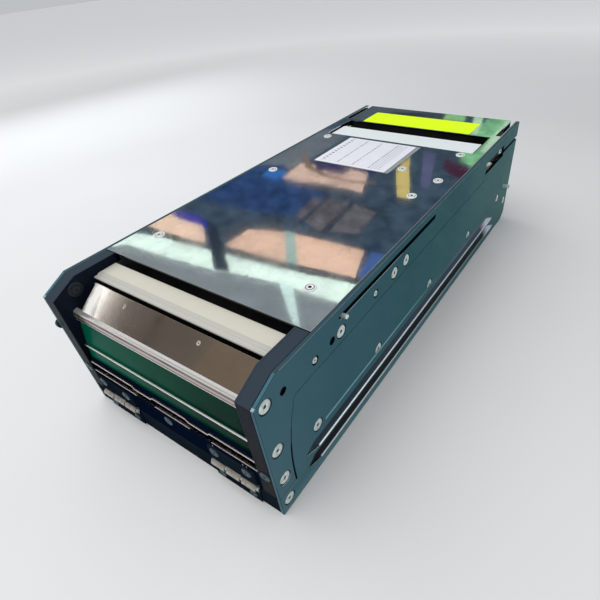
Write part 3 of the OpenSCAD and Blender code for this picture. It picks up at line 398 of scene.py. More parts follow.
def ruledLabel(name, low, high):
    # a blank form: thin rules, a dotted column and a glossy film over it
    p = Paint(name, Specular_IOR_Level=0.5, Coat_Roughness=0.08, Coat_Weight=0.6)
    x, y, _ = p.axes()
    u, v = (p.spread(axis, low[i] / mm, high[i] / mm) for i, axis in enumerate((x, y)))
    inside = (u > 0.05) * (u < 0.97) * (v > 0.05) * (v < 0.96)
    columns = sum([abs(u - c) < 0.009 for c in (0.31, 0.53, 0.765)], 0) * inside
    thin = sum([abs(u - c) < 0.004 for c in (0.81, 0.85, 0.89)], 0) * inside
    dash = (((v * 24) % 1) < 0.7) * (p.noise(0.5, 1) > 0.42)
    fineRows = (abs((v * 16) % 1 - 0.5) > 0.43) * inside * (0.6 + (u > 0.74) * 0.4)
    fineRows = fineRows * (p.noise(0.35, 1, (1, 0.2, 1)) > 0.40)
    dots = (abs((v * 13) % 1 - 0.5) < 0.2) * (abs(u - 0.085) < 0.018) * inside
    ink = (columns * dash * 0.95 + fineRows * 0.35 + dots * 0.95 + thin * 0.6).clip()
    paper = p.blend(p.noise(0.05, 4), (0.72, 0.72, 0.76), (0.63, 0.64, 0.69))
    return p.skin(p.blend(ink, paper, (0.10, 0.11, 0.16)), 0.38 + p.noise(0.2, 3) * 0.1, p.noise(0.09, 3),
                  0.0003, 0.1)


def stickerYellow(name):
    # fluorescent paper, with a faint emission of its own colour: painted glow
    p = Paint(name, Specular_IOR_Level=0.15, Emission_Strength=0.10)
    fade = p.noise(0.03, 4)
    fibre = p.noise(1.2, 3, (1, 0.3, 1))
    glow = p.blend(fade, (0.50, 0.72, 0.0), (0.58, 0.80, 0.004))
    return p.skin(glow, 0.5 + fibre * 0.15, fibre, 0.00005, 0.3, Emission_Color=glow)


def tintedFilm(name):
    # see-through laminate under the label
    p = Paint(name, Specular_IOR_Level=0.5, Coat_Weight=0.5, Coat_Roughness=0.05)
    wear = p.noise(0.1, 4)
    return p.set(Base_Color=p.blend(wear, (0.45, 0.48, 0.5), (0.6, 0.62, 0.64)),
                 Roughness=0.15 + wear * 0.1, Alpha=0.35 + wear * 0.2)


def zincScrew(name, colour, rough=0.26, mottle=0.28, metallic=1.0):
    # plated steel with faint turning and a dull film
    p = Paint(name, Metallic=metallic)
    film = p.spread(p.noise(0.35, 4), 0.35, 0.7)
    darker = tuple(c * (1 - mottle) for c in colour)
    return p.skin(p.blend(film, colour, darker), rough + film * 0.14, p.noise(5, 1), 0.00003, 0.4)


def leverCoat(name):
    # black lever, pale bare steel with chipped edges at the finger end and round its shaft, standing there as
    # painted highlights
    p = Paint(name, Specular_IOR_Level=0.05)
    y = p.axes()[1] - faceY
    chips = (p.noise(0.25, 4) - 0.5) * 6
    bareHighlight = (p.spread(y + chips, 422, 420) + p.spread(y + chips, 459, 461)).clip()
    return p.skin(p.blend(bareHighlight, (0.002, 0.003, 0.004), (0.80, 0.84, 0.86)), 0.4 + p.noise(0.3, 3) * 0.1,
                  p.noise(2.2, 2), 0.00003, 0.3)


paints = {
    "side": pressedCoat("tealCoatedPlate", (0.017, 0.084, 0.112), (0.013, 0.070, 0.094),
                        (0.052, 0.120, 0.150), (0.055, 0.150, 0.148)),
    "rearCoat": powderCoat("tealCoatedRear", (0.016, 0.080, 0.112), (0.011, 0.064, 0.090), 0.4, level=0.08),
    # the post's top colour is a painted highlight on the faces that point up
    "post": powderCoat("navyCoatedPost", (0.0058, 0.0092, 0.018), (0.0038, 0.0064, 0.013), 0.34, 0.5, 0.03,
                       top=(0.026, 0.037, 0.050)),
    "sill": powderCoat("navyCoatedSill", (0.010, 0.016, 0.024), (0.003, 0.006, 0.012), 0.3, 0.3, 0.0),
    "panel": powderCoat("navyPanel", (0.0018, 0.005, 0.016), (0.001, 0.004, 0.010), 0.22, 0.15, 0.0),
    # the cover's rim faces get painted shade; the entry's dull left patch is also a painted highlight
    "cover": polishedMetal("polishedCover", (0.80, 0.82, 0.85), 0.03, 0.05, 0.12, 0.5,
                           edge=(0.05, 0.055, 0.06)),
    "entry": polishedMetal("polishedEntry", (0.84, 0.80, 0.75), 0.08, 0.07, 0.2, 0.3,
                           hazeHighlight=(-68, -80, -86, -92)),
    "nose": noseLightBands("noseLightBands"),
    "lip": polishedMetal("polishedLip", (0.95, 0.95, 0.90), 0.3, 0.06, 0.05, 0.0),
    "rose": polishedMetal("wornLip", (0.80, 0.70, 0.66), 0.24, 0.10, 0.2, 0.2),
    "beam": satinBeam("satinBeam", (0.60, 0.575, 0.49), (0.46, 0.45, 0.41), 44.5),
    "rearBeam": satinBeam("satinRearBeam", (0.80, 0.85, 0.85), (0.60, 0.64, 0.66), 398.0),
    "steel": brushedMetal("rolledSteel", (0.60, 0.61, 0.62), 0.34, (1, 0.03, 1)),
    "phosphate": brushedMetal("phosphatedSteel", (0.060, 0.064, 0.068), 0.5, (1, 0.03, 1), metallic=0.6),
    "lever": leverCoat("latchLeverCoat"),
    "shaft": brushedMetal("groundShaft", (0.72, 0.73, 0.74), 0.22, (6, 1, 1), 0.2, 0.05),
    "zinc": zincScrew("zincPlate", (0.78, 0.86, 0.83), 0.3, 0.4, 0.75),
    "blued": zincScrew("bluedScrew", (0.07, 0.12, 0.15), 0.3),
    "coverZinc": zincScrew("coverScrewZinc", (0.84, 0.86, 0.85), 0.4, 0.2, 0.35),
    "hinge": zincScrew("hingeZinc", (0.50, 0.46, 0.41), 0.3, 0.35, 0.8),
    "brass": zincScrew("sinteredBronze", (0.62, 0.44, 0.20), 0.38),
    # the green panel's colour is a painted reflection
    "green": paintedReflectionPanel("greenReflectionPanel", (0.0, 0.082, 0.048), (0.001, 0.013, 0.008)),
    "black": moulded("blackMoulding", (0.012, 0.012, 0.013), 0.45),
    # black fill for pieces that stand for shade: painted shade
    "dark": moulded("paintedShadeVoid", (0.002, 0.002, 0.002), 0.8, level=0.1),
    "gear": moulded("ivoryGear", (0.72, 0.68, 0.56), 0.42, 2.5),
    "ivory": moulded("ivoryConnector", (0.70, 0.68, 0.60), 0.4, 2.0),
    "chip": moulded("chipEpoxy", (0.02, 0.02, 0.022), 0.35, 4.0),
    "knob": moulded("knobPlastic", (0.006, 0.009, 0.013), 0.32, 1.2, level=0.15),
    "rubber": rubberSkin("rollerRubber", (0.02, 0.02, 0.021)),
    "timing": rubberSkin("timingRubber", (0.012, 0.012, 0.012)),
    "belt": wovenBelt("flatBelt", (0.05, 0.16, 0.10)),
    "board": circuitBoard("solderMask"),
    "glass": clearGlass("sensorGlass"),
    "white": ruledLabel("ruledLabel", *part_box("white_label")),
    "yellow": stickerYellow("signalSticker"),
    "film": tintedFilm("labelFilm"),
}
print("materials made:", len(paints))


def offsetLoop(loop, distance):
    # moves each corner along its mitre, to the left of the way round
    moved = []
    for i, point in enumerate(loop):
        before, after = Vector(loop[i - 1]), Vector(loop[(i + 1) % len(loop)])
        here = Vector(point)
        d1, d2 = (here - before).normalized(), (after - here).normalized()
        n1, n2 = Vector((-d1.y, d1.x)), Vector((-d2.y, d2.x))
        moved.append(here + (n1 + n2) * distance / max(0.3, 1 + n1.dot(n2)))
    return moved


def circle(y, z, r, count=36, turn=0.0):
    steps = [turn + 2 * math.pi * i / count for i in range(count)]
    return [(y + r * math.cos(a), z + r * math.sin(a)) for a in steps]


def stadium(y0, y1, z, r, count=12):
    right = [math.pi * (i / count - 0.5) for i in range(count + 1)]
    left = [math.pi * (i / count + 0.5) for i in range(count + 1)]
    return ([(y1 + r * math.cos(a), z + r * math.sin(a)) for a in right]
            + [(y0 + r * math.cos(a), z + r * math.sin(a)) for a in left])


def ccw(loop):
    area = sum(a[0] * b[1] - b[0] * a[1] for a, b in zip(loop, list(loop[1:]) + [loop[0]]))
    return list(loop) if area > 0 else list(loop)[::-1]


def roundPath(points, r, count=5, closed=False):
    # fillets the corners of a path
    out = []
    last = len(points) - 1
    for i, point in enumerate(points):
        here = Vector(point)
        if not closed and i in (0, last):
            out.append(here)
            continue
        a, b = Vector(points[i - 1]), Vector(points[(i + 1) % len(points)])
        da, db = (a - here), (b - here)
        reach = min(r, da.length * 0.48, db.length * 0.48)
        p0, p1 = here + da.normalized() * reach, here + db.normalized() * reach
        for k in range(count + 1):
            t = k / count
            out.append(p0.lerp(here, t).lerp(here.lerp(p1, t), t))
    return [(v.x, v.y) for v in out]


def thicken(path, t):
    # closed outline of a sheet that follows a path, on its left side
    side = []
    for i, point in enumerate(path):
        here = Vector(point)
        d1 = (here - Vector(path[i - 1])).normalized() if i else None
        d2 = (Vector(path[i + 1]) - here).normalized() if i < len(path) - 1 else None
        d1, d2 = d1 or d2, d2 or d1
        n1, n2 = Vector((-d1.y, d1.x)), Vector((-d2.y, d2.x))
        moved = here + (n1 + n2) * t / max(0.4, 1 + n1.dot(n2))
        side.append((moved.x, moved.y))
    return list(path) + side[::-1]


def rect(a0, b0, a1, b1):
    return [(a0, b0), (a1, b0), (a1, b1), (a0, b1)]


rimSteps = 3


def rimRows(r, w, turn):
    # inset and depth of each line of a rounded rim, from the wall to the face at depth w
    angles = [math.pi / 2 * k / rimSteps for k in range(rimSteps + 1)]
    return [(r * (1 - math.cos(a)), w - turn * r * (1 - math.sin(a))) for a in angles] if r else [(0, w)]


class Solid:
    # gathers the mesh of one piece; every part added to it is closed
    def __init__(self):
        self.bm = bmesh.new()

    def ring(self, points):
        return [self.bm.verts.new(p) for p in points]

    def bridge(self, a, b, smooth=True):
        count = len(a)
        for i in range(count):
            j = (i + 1) % count
            corners = [a[i], a[j], b[j], b[i]]
            if len(set(corners)) > 2:
                face = self.bm.faces.new([v for k, v in enumerate(corners) if v not in corners[:k]])
                face.smooth = smooth

    def cap(self, rings, smooth=False):
        flat = [v for ring in rings for v in ring]
        for tri in geometry.tessellate_polygon([[v.co for v in ring] for ring in rings]):
            corners = [flat[i] for i in tri]
            if len(set(corners)) == 3:
                try:
                    self.bm.faces.new(corners).smooth = smooth
                except ValueError:
                    pass

    # a plate between depths w0 and w1, with rounded rims; holes are (loop, blind depth or None), mouth is
    # the inset and depth of each line of their rims, channels are the rims of hollows made beforehand
    def plate(self, place, outline, w0, w1, r0=0.3, r1=0.3, holes=(), mouth=None, channels=()):
        turn = 1 if w1 > w0 else -1

        def wall(loop, rows):
            rings = [self.ring([place(u, v, w) for u, v in offsetLoop(loop, inset)]) for inset, w in rows]
            for a, b in zip(rings, rings[1:]):
                self.bridge(a, b)
            return rings

        outer = wall(ccw(outline), rimRows(r0, w0, -turn)[::-1] + rimRows(r1, w1, turn))
        back, front = [outer[0]], [outer[-1]]
        mouth = mouth or rimRows(min(r1, 0.25), w1, turn)
        for loop, blind in holes:
            around = ccw(loop)[::-1]
            if blind is None:
                rings = wall(around, rimRows(min(r0, 0.2), w0, -turn)[::-1] + mouth)
                back.append(rings[0])
            else:
                rings = wall(around, [(0, w1 - turn * blind)] + mouth)
                self.cap([rings[0]])
            front.append(rings[-1])
        self.cap(front + list(channels))
        self.cap(back)

    # a plate that runs across the part, centred
    def across(self, outline, half, r):
        self.plate(alongX(), outline, -half, half, r, r)

    # a round part about an axis: profile of (radius, height), hexes names the rows with a hexagon shape
    def lathe(self, origin, axis, profile, count=32, hexes=()):
        axis = Vector(axis).normalized()
        side = axis.orthogonal().normalized()
        other = axis.cross(side)
        rings = []
        for row, (r, h) in enumerate(profile):
            if r <= 0:
                rings.append([self.bm.verts.new(origin + axis * h * mm)] * count)
                continue
            ring = []
            for i in range(count):
                a = 2 * math.pi * i / count
                k = 1.0
                if row in hexes:
                    step = math.pi / 3
                    k = math.cos(step / 2) / math.cos(a % step - step / 2)
                ring.append(origin + axis * h * mm + (side * math.cos(a) + other * math.sin(a)) * r * k * mm)
            rings.append(self.ring(ring))
        for a, b in zip(rings, rings[1:]):
            self.bridge(a, b)
        for ring in (rings[0], rings[-1]):
            if len(set(ring)) > 2:
                self.cap([ring])


# an outline's two coordinates and its depth, for plates that are thick along x, y or z
def alongX(sign=1):
    return lambda u, v, w: at(sign * w, u, v)


def alongY(u, v, w):
    return at(u, w, v)


alongZ = at


def makePiece(name, solid, paint, body, stands=(), crease=34):
    # one piece: its paint, the body it rides on and the CAD nodes it stands for
    bm = solid.bm if isinstance(solid, Solid) else solid
    bmesh.ops.recalc_face_normals(bm, faces=bm.faces)
    mesh = bpy.data.meshes.new(name)
    bm.to_mesh(mesh)
    bm.free()
    piece = bpy.data.objects.new(name, mesh)
    scene.collection.objects.link(piece)
    mesh.materials.append(paints[paint].mat)
    mesh.set_sharp_from_angle(angle=math.radians(crease))
    weight = piece.modifiers.new("flatFaces", "WEIGHTED_NORMAL")
    weight.keep_sharp = True
    weight.weight = 90
    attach(piece, body)
    if stands:
        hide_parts(*stands)


def welded(node):
    bm = bmesh.new()
    bm.from_mesh(nodes[node].data)
    bmesh.ops.remove_doubles(bm, verts=bm.verts, dist=1e-6)
    return bm


def looseParts(node):
    # lowest and highest corner of each separate solid of a CAD node, in millimetres from the datum faces
    bm = welded(node)
    seen, parts = set(), []
    for start in bm.verts:
        if start in seen:
            continue
        stack, group = [start], []
        seen.add(start)
        while stack:
            v = stack.pop()
            group.append(v.co.copy())
            for e in v.link_edges:
                w = e.other_vert(v)
                if w not in seen:
                    seen.add(w)
                    stack.append(w)
        low = Vector([min(c[i] for c in group) for i in range(3)])
        high = Vector([max(c[i] for c in group) for i in range(3)])
        shift = Vector((0, frontY, 0))
        parts.append(((low - shift) / mm, (high - shift) / mm))
    bm.free()
    return parts


def refined(node, paint, bevel):
    # a CAD node with planes merged and its sharp edges rounded
    bm = welded(node)
    bmesh.ops.dissolve_limit(bm, angle_limit=math.radians(0.5), verts=bm.verts, edges=bm.edges)
    sharp = [e for e in bm.edges if len(e.link_faces) == 2 and e.calc_face_angle(0) > math.radians(35)]
    bmesh.ops.bevel(bm, geom=sharp, offset=bevel * mm, segments=2, profile=0.7,
                    affect="EDGES", clamp_overlap=True)
    for face in bm.faces:
        face.smooth = True
    slot = next(s["material_slot"] for s in frame["record"]["subparts"] if s["node"] == node)
    words = node.replace("_", " ").title().replace(" ", "")
    makePiece(words[0].lower() + words[1:], bm, paint, nodes[node]["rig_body"], (node,))


sides = (("Right", 1), ("Left", -1))
plates = {
    "inner": 112.0, "outer": 115.0, "rim": 0.45, "length": 524.0, "height": 136.0,
    "chamferY": 23.5, "chamferZ": 11.3,
    "splitZ": 21.8, "splitY": 20.0, "railZ": 104.0, "tailZ": 116.0, "tailHalf": 2.0,
    "gap": 0.6, "crack": 1.4, "leanZ": 35.8, "leanR": 160.0, "corner": 6.0,
    "pocketY": 402.6, "pocketRear": 468.0, "pocketTop": 124.0, "pocketFloor": 110.3,
    "bore": 5.9, "boreDepth": 1.8, "smallBore": 3.8,
}


def splitLine(s):
    # parting line between the units from the front face up to the rail, s is 1 for the upper unit
    g, c = s * plates["gap"] / 2, -s * plates["crack"] / 2
    top = plates["railZ"] - plates["corner"]
    lean = lambda z: (z - plates["leanZ"]) ** 2 / (2 * plates["leanR"])
    line = [(0, plates["splitZ"] + g), (plates["splitY"] + c, plates["splitZ"] + g),
            (plates["splitY"] + c, plates["leanZ"])]
    for i in range(1, 13):
        z = plates["leanZ"] + i * (top - plates["leanZ"]) / 12
        fade = 1 if z < 66 else 0.45
        line.append((plates["splitY"] + lean(z) + c * fade, z))
    r = plates["corner"]
    y0 = plates["splitY"] + lean(top)
    for i in range(1, 9):
        a = math.radians(90 * i / 8)
        line.append((y0 + r * 1.2 * (1 - math.cos(a)) + c * 0.45 * (1 - i / 8), top + (r + g) * math.sin(a)))
    return line


def upperOutline():
    g = plates["gap"] / 2
    tail = plates["tailZ"] + plates["tailHalf"]
    return splitLine(1) + [
        (plates["pocketY"], plates["railZ"] + g), (plates["pocketY"], plates["pocketTop"]),
        (plates["pocketRear"], plates["pocketTop"]), (plates["pocketRear"], tail), (plates["length"], tail),
        (plates["length"], plates["height"]),
        (plates["chamferY"], plates["height"]), (0, plates["height"] - plates["chamferZ"])]


def lowerOutline():
    g = plates["gap"] / 2
    tail = plates["tailZ"] - plates["tailHalf"]
    rear = roundPath([(plates["length"], 30), (plates["length"], 8), (plates["length"] - 11, 0),
                      (plates["length"] - 30, 0)], 5)
    return [(0, 0)] + splitLine(-1) + [
        (plates["pocketY"], plates["railZ"] - g), (plates["pocketY"], plates["pocketFloor"]),
        (plates["pocketRear"], plates["pocketFloor"]), (plates["pocketRear"], tail),
        (plates["length"], tail)] + rear


def screwSpots(node):
    # places of the screws that go into the right side, with the radius of the head
    return [((low.y + high.y) / 2, (low.z + high.z) / 2, (high.z - low.z) / 2)
            for low, high in looseParts(node) if high.x > 113 and high.x - low.x > 2]


upperSide = screwSpots("upper_screws")
lowerSide = screwSpots("lower_screws")

# pressed channels; each row: top rim, deepest line, bottom rim, tip height, depth, rear end at the top and
# at the bottom; each bead: from, to, height
grooves = {
    "front": 35.2, "tip": 16.0,
    "rows": [(38.0, 25.9, 25.0, 32.4, 0.95, 438.0, 465.0), (23.0, 9.9, 9.0, 16.6, 0.95, 446.0, 474.0)],
    "bead": 46.4, "beads": ((62.0, 270.0, 0.35), (270.1, 452.0, 0.14)),
}


def grooveLoop(top, bottom, tip, rearTop, rearLow):
    f, p = grooves["front"], grooves["tip"]
    return [(f, tip + 0.9), (f + p * 0.55, top), (rearTop, top), (rearLow, bottom + 1.5),
            (rearLow - 2, bottom), (f + p, bottom), (f, tip - 0.9)]


def buildGroove(solid, place, row):
    # pressed channel: long upper slope, short bright lower slope, pointed front end
    top, deep, bottom, tip, depth, rearTop, rearLow = row
    rim = ccw(grooveLoop(top, bottom, tip, rearTop, rearLow))
    x = plates["outer"]
    inner = []
    for y, z in rim:
        upper = z > (top + bottom) / 2 or y < grooves["front"] + 1 and z > tip
        end = rearTop + 8 if upper else rearLow - 7
        inner.append((min(max(y, grooves["front"] + 6), end), deep + (0.15 if upper else -0.15)))
    outerRing = solid.ring([place(y, z, x) for y, z in rim])
    shoulder = solid.ring([place(y, z, x - 0.08) for y, z in offsetLoop(rim, 0.1)])
    floor = solid.ring([place(y, z, x - depth) for y, z in inner])
    solid.bridge(outerRing, shoulder)
    solid.bridge(shoulder, floor, False)
    solid.cap([floor])
    return outerRing


def sidePlate(name, outline, screws, through, sign, body, node, rows=()):
    # a side plate with its bores, its open holes and the rows of its pressed channels
    solid = Solid()
    place = alongX(sign)
    x0, x1, rim = plates["inner"], plates["outer"], plates["rim"]
    holes = [(circle(y, z, plates["bore"] if r > 4 else plates["smallBore"], 64), plates["boreDepth"])
             for y, z, r in screws] + [(loop, None) for loop in through]
    if rows:
        channels = [buildGroove(solid, place, row) for row in rows]
        solid.plate(place, outline, x0, x1, 0, rim, holes, [(0, x1 - 0.2), (0.2, x1)], channels)
    else:
        solid.plate(place, outline, x0, x1, 0.2, rim, holes)
    makePiece(name, solid, "side", body, (node,), crease=6.2 if rows else 34)


openHoles = {"spots": ((25.9, 117.1, 3.2), (81.0, 114.1, 3.4)), "shadeX": 111.9}
slot = {"front": 93.5, "rear": 256.0, "z": 127.2, "r": 2.3, "pinY": 95.5, "pinR": 1.9, "pinEnd": 119.4}


def longSlot(less=0.0):
    return stadium(slot["front"], slot["rear"], slot["z"], slot["r"] - less)


through = [circle(y, z, r, 28) for y, z, r in openHoles["spots"]] + [longSlot()]
for side, sign in sides:
    tail = side.lower()
    sidePlate("upperSide" + side, upperOutline(), upperSide, through, sign, "upper_unit",
              "upper_plate_" + tail)
    sidePlate("lowerSide" + side, lowerOutline(), lowerSide, [], sign, "lower_unit",
              "lower_plate_" + tail, grooves["rows"])
    # raised bead over the channels, a bent line that runs to the rear
    bead = Solid()
    line, x1 = grooves["bead"], plates["outer"]
    for y0, y1, h in grooves["beads"]:
        section = [(line - 1.5, x1), (line - 0.5, x1 + h * 0.8), (line, x1 + h), (line + 0.6, x1 + h * 0.7),
                   (line + 1.5, x1), (line, x1 - 0.4)]
        bead.plate(lambda u, v, w: at(sign * v, w, u), section, y0, y1, 0.1, 0.1)
    makePiece("bendLine" + side, bead, "side", "lower_unit")
    # small dark discs at the tips of the channels: painted shade standing for round nose holes
    tipShades = Solid()
    for row in grooves["rows"]:
        tipShades.lathe(at(sign * (x1 + 0.02), grooves["front"] + 0.6, row[3]), (sign, 0, 0),
                   [(1.5, -0.6), (1.5, 0.0), (1.2, 0.03), (1.2, -0.5), (0, -0.5)], 20)
    makePiece("grooveTips" + side, tipShades, "dark", "lower_unit")
    # dark plates inside the slot and the holes: painted shade
    shade = Solid()
    inside = openHoles["shadeX"]
    shade.plate(alongX(sign), longSlot(0.04), inside, inside + 0.7, 0, 0)
    for y, z, r in openHoles["spots"]:
        shade.plate(alongX(sign), circle(y, z, r - 0.05, 24), inside, inside + 0.6, 0, 0)
    makePiece("holeShades" + side, shade, "dark", "upper_unit")
print("side plates done")


heads = {"chamfer": 0.45, "seatX": 113.2, "low": 1.55, "side": 5.15, "cover": 5.1, "leaf": 3.6, "panel": 4.6}


def lowHead(solid, origin, axis, r, h, socket):
    # low cylindrical head with a chamfered rim, a faint dish and a hexagon socket
    c = min(heads["chamfer"], r * 0.14)
    solid.lathe(origin, axis, [
        (0, h - 1.3), (socket, h - 1.3), (socket, h - 0.3), (socket + 0.25, h - 0.12),
        (r * 0.55, h - 0.04), (r - c * 1.6, h), (r - c, h - 0.05), (r, h - c), (r, -0.4), (0, -0.4)],
        40, hexes=(1, 2))


def ringHead(solid, origin, axis, r, h, socket):
    # countersunk screw in a raised cup washer
    solid.lathe(origin, axis, [
        (0, h - 0.7), (socket, h - 0.7), (socket, h - 0.15), (socket + 0.3, h),
        (r * 0.56, h - 0.02), (r * 0.62, h - 0.35), (r * 0.70, h - 0.35), (r * 0.80, h - 0.02),
        (r * 0.92, h - 0.06), (r, h * 0.25), (r, -0.2), (0, -0.2)], 40, hexes=(1, 2))


def socketShadeFloor(solid, origin, axis, h, socket, ring=None):
    # dark floor of the socket, and of the groove round a cupped head: painted shade
    solid.lathe(origin, axis, [(0, h - 0.45), (socket, h - 0.45), (socket, h - 1.25), (0, h - 1.25)], 24,
                hexes=(1, 2))
    if ring:
        solid.lathe(origin, axis, [(ring * 0.61, h - 0.22), (ring * 0.71, h - 0.22), (ring * 0.71, h - 0.6),
                                   (ring * 0.61, h - 0.6), (ring * 0.61, h - 0.22)], 40)


socketShades = {"upper": Solid(), "lower": Solid()}
for side, sign in sides:
    for label, spots in (("upper", upperSide), ("lower", lowerSide)):
        sideHeads = Solid()
        for y, z, r in spots:
            r, key = (r, 0.9) if r < 4 else (heads["side"], 1.5)
            spot = at(sign * heads["seatX"], y, z)
            lowHead(sideHeads, spot, (sign, 0, 0), r, heads["low"], key)
            socketShadeFloor(socketShades[label], spot, (sign, 0, 0), heads["low"], key)
        makePiece(label + "SideScrews" + side, sideHeads, "zinc", label + "_unit")

topScrews, leafScrews, panelScrews = Solid(), Solid(), Solid()
for low, high in looseParts("upper_screws"):
    if high.z > 136.5:
        spot = at((low.x + high.x) / 2, (low.y + high.y) / 2, plates["height"])
        ringHead(topScrews, spot, (0, 0, 1), heads["cover"], 0.8, 1.6)
        socketShadeFloor(socketShades["upper"], spot, (0, 0, 1), 0.8, 1.6, heads["cover"])
makePiece("coverScrews", topScrews, "coverZinc", "upper_unit", ("upper_screws",))
# the black socket floors and head grooves are painted shade
for label, sockets in socketShades.items():
    makePiece(label + "Sockets", sockets, "black", label + "_unit")

for low, high in looseParts("lower_screws"):
    if low.y < -1:
        spot = at((low.x + high.x) / 2, -1.5, (low.z + high.z) / 2)
        ringHead(leafScrews, spot, (0, -1, 0), heads["leaf"], 0.7, 1.0)
makePiece("hingeScrewsLower", leafScrews, "blued", "lower_unit", ("lower_screws",))
for low, high in looseParts("front_screws"):
    spot = at((low.x + high.x) / 2, -1.5 if low.y < -2 else 0, (low.z + high.z) / 2)
    ringHead(panelScrews, spot, (0, -1, 0), heads["panel"], 0.75, 1.2)
makePiece("frontScrews", panelScrews, "blued", "upper_unit", ("front_screws",))
print("screws done")


posts = {"in": 99.0, "middle": 101.0, "out": 111.7, "rear": 62.0, "rim": 0.55}
for side, sign in sides:
    shell = Solid()
    outline = splitLine(1) + [
        (posts["rear"], plates["railZ"] + 0.4), (posts["rear"], plates["height"]),
        (plates["chamferY"], plates["height"]), (0, plates["height"] - plates["chamferZ"])]
    shell.plate(alongX(sign), outline, posts["middle"], posts["out"], 0.2, posts["rim"])
    shell.plate(alongX(sign), outline, posts["middle"], posts["in"], 0.0, posts["rim"])
    makePiece("frontPost" + side, shell, "post", "upper_unit", ("front_post_" + side.lower(),))

beams = {"half": 97.6, "rearHalf": 97.0, "end": 2.4, "rearDepth": 35.0}


def crossBeam(name, path, thick, half, end, paint, node):
    # folded sheet that runs across the part, closed by a plate at each end
    solid = Solid()
    solid.across(thicken(roundPath(path, 1.0), thick), half, 0.25)
    for x in (-half, half - beams["end"]):
        solid.plate(alongX(), end, x, x + beams["end"], 0.2, 0.2)
    makePiece(name, solid, paint, "upper_unit", (node,))


crossBeam("frontBeamSheet", [(59.3, 120.5), (59.3, 128.4), (41.5, 128.4), (40.3, 127.2), (36.8, 127.2)], 1.3,
          beams["half"], rect(41, 121.4, 58, 126.9), "beam", "front_beam")
# dark block inside the front beam: painted shade
beamShade = Solid()
beamShade.across(rect(39.6, 118.5, 57.5, 125.7), 97.0, 0.2)
makePiece("frontBeamShade", beamShade, "dark", "upper_unit")
y0 = (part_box("rear_beam")[0][1] - frontY) / mm
y1 = y0 + beams["rearDepth"]
crossBeam("rearBeamSheet", [(y0, 125.2), (y0, 134.0), (y1, 134.0), (y1 + 0.8, 131.6)], -1.4,
          beams["rearHalf"], rect(y0 + 2, 125.4, y0 + 32, 132.4), "rearBeam", "rear_beam")

entry = {"half": 91.0, "wide": 98.6, "foot": (12.6, 110.3), "head": (33.4, 125.0), "dimples": (-47, 38)}
slope = Solid()
slope.across(thicken([entry["head"], entry["foot"]], 1.2), entry["half"], 0.15)
flange = roundPath([(34.9, 117.2), (34.9, 124.0), entry["head"], (32.2, 124.1)], 0.6)
slope.across(thicken(flange, 0.9), 97.0, 0.15)
makePiece("entrySlope", slope, "entry", "upper_unit", ("entry_plate",))
nose = Solid()
path = roundPath([(13.4, 110.4), (10.2, 109.9), (8.6, 108.0), (8.3, 104.6), (8.5, 100.4), (9.6, 98.5),
                  (11.2, 98.6)], 1.6, 6)
nose.across(thicken(path, 1.1), entry["wide"], 0.2)
makePiece("entryNose", nose, "nose", "upper_unit")
# dimples that hold the plate
dimples = Solid()
for x in entry["dimples"]:
    dimples.lathe(at(x, 27.6, 121.0), (0, -0.577, 0.817), [
        (0, -0.15), (0.5, -0.1), (0.9, 0.2), (1.2, 0.28), (1.6, 0.12), (1.9, -0.15), (0, -0.4)], 28)
makePiece("entryDimples", dimples, "entry", "upper_unit")

panel = Solid()
panel.across(thicken([(10.2, 98.0), (5.7, 75.2), (3.9, 59.2)], 1.2), 98.5, 0.15)
makePiece("greenPanel", panel, "green", "upper_unit", ("entry_panel",))

bar = Solid()
path = roundPath([(5.7, 76.0), (4.3, 76.4), (3.5, 75.9), (3.5, 74.7), (4.3, 74.2), (5.5, 74.3)], 0.7, 4,
                 closed=True)
bar.plate(alongX(), path, -98.4, 97.0, 0.5, 0.5)
makePiece("lipBarStrip", bar, "lip", "upper_unit", ("lip_bar",))

# note slot: the heights of its lips, their outer edges, and the steps that guide a note
slots = {"lips": (46.4, 57.0), "outsides": (42.2, 60.6), "strips": ((0.6, 3.4), (1.0, 3.9)), "stripWide": 1.5,
         "shift": 6.0, "inner": 20.0, "outer": 44.0, "ramp": 2.5, "drop": 2.7, "half": 98.4}


def stepped(z):
    s, i, o, r, d, end = (slots[k] for k in ("shift", "inner", "outer", "ramp", "drop", "half"))
    return [(-end, z), (s - o - r, z), (s - o, z - d), (s - i - r, z - d), (s - i, z), (s + i, z),
            (s + i + r, z - d), (s + o, z - d), (s + o + r, z), (end, z)]


lips, strips = Solid(), Solid()
for z, outside, (y0, y1) in zip(slots["lips"], slots["outsides"], slots["strips"]):
    edge = stepped(z)
    lips.plate(alongY, edge + [(slots["half"], outside), (-slots["half"], outside)], 3.6, 2.2, 0.2, 0.35)
    strips.plate(alongY, edge + [(x, v - slots["stripWide"]) for x, v in edge][::-1], y1, y0, 0.1, 0.4)
makePiece("slotLipPlates", lips, "panel", "upper_unit", ("slot_lips",))
# polished edge strips on both lips
makePiece("slotEdgeStrips", strips, "rose", "upper_unit")


def mirrored(half):
    # an outline given by its right half, from the top down, made whole about the middle
    return half + [(-x, z) for x, z in half[::-1]]


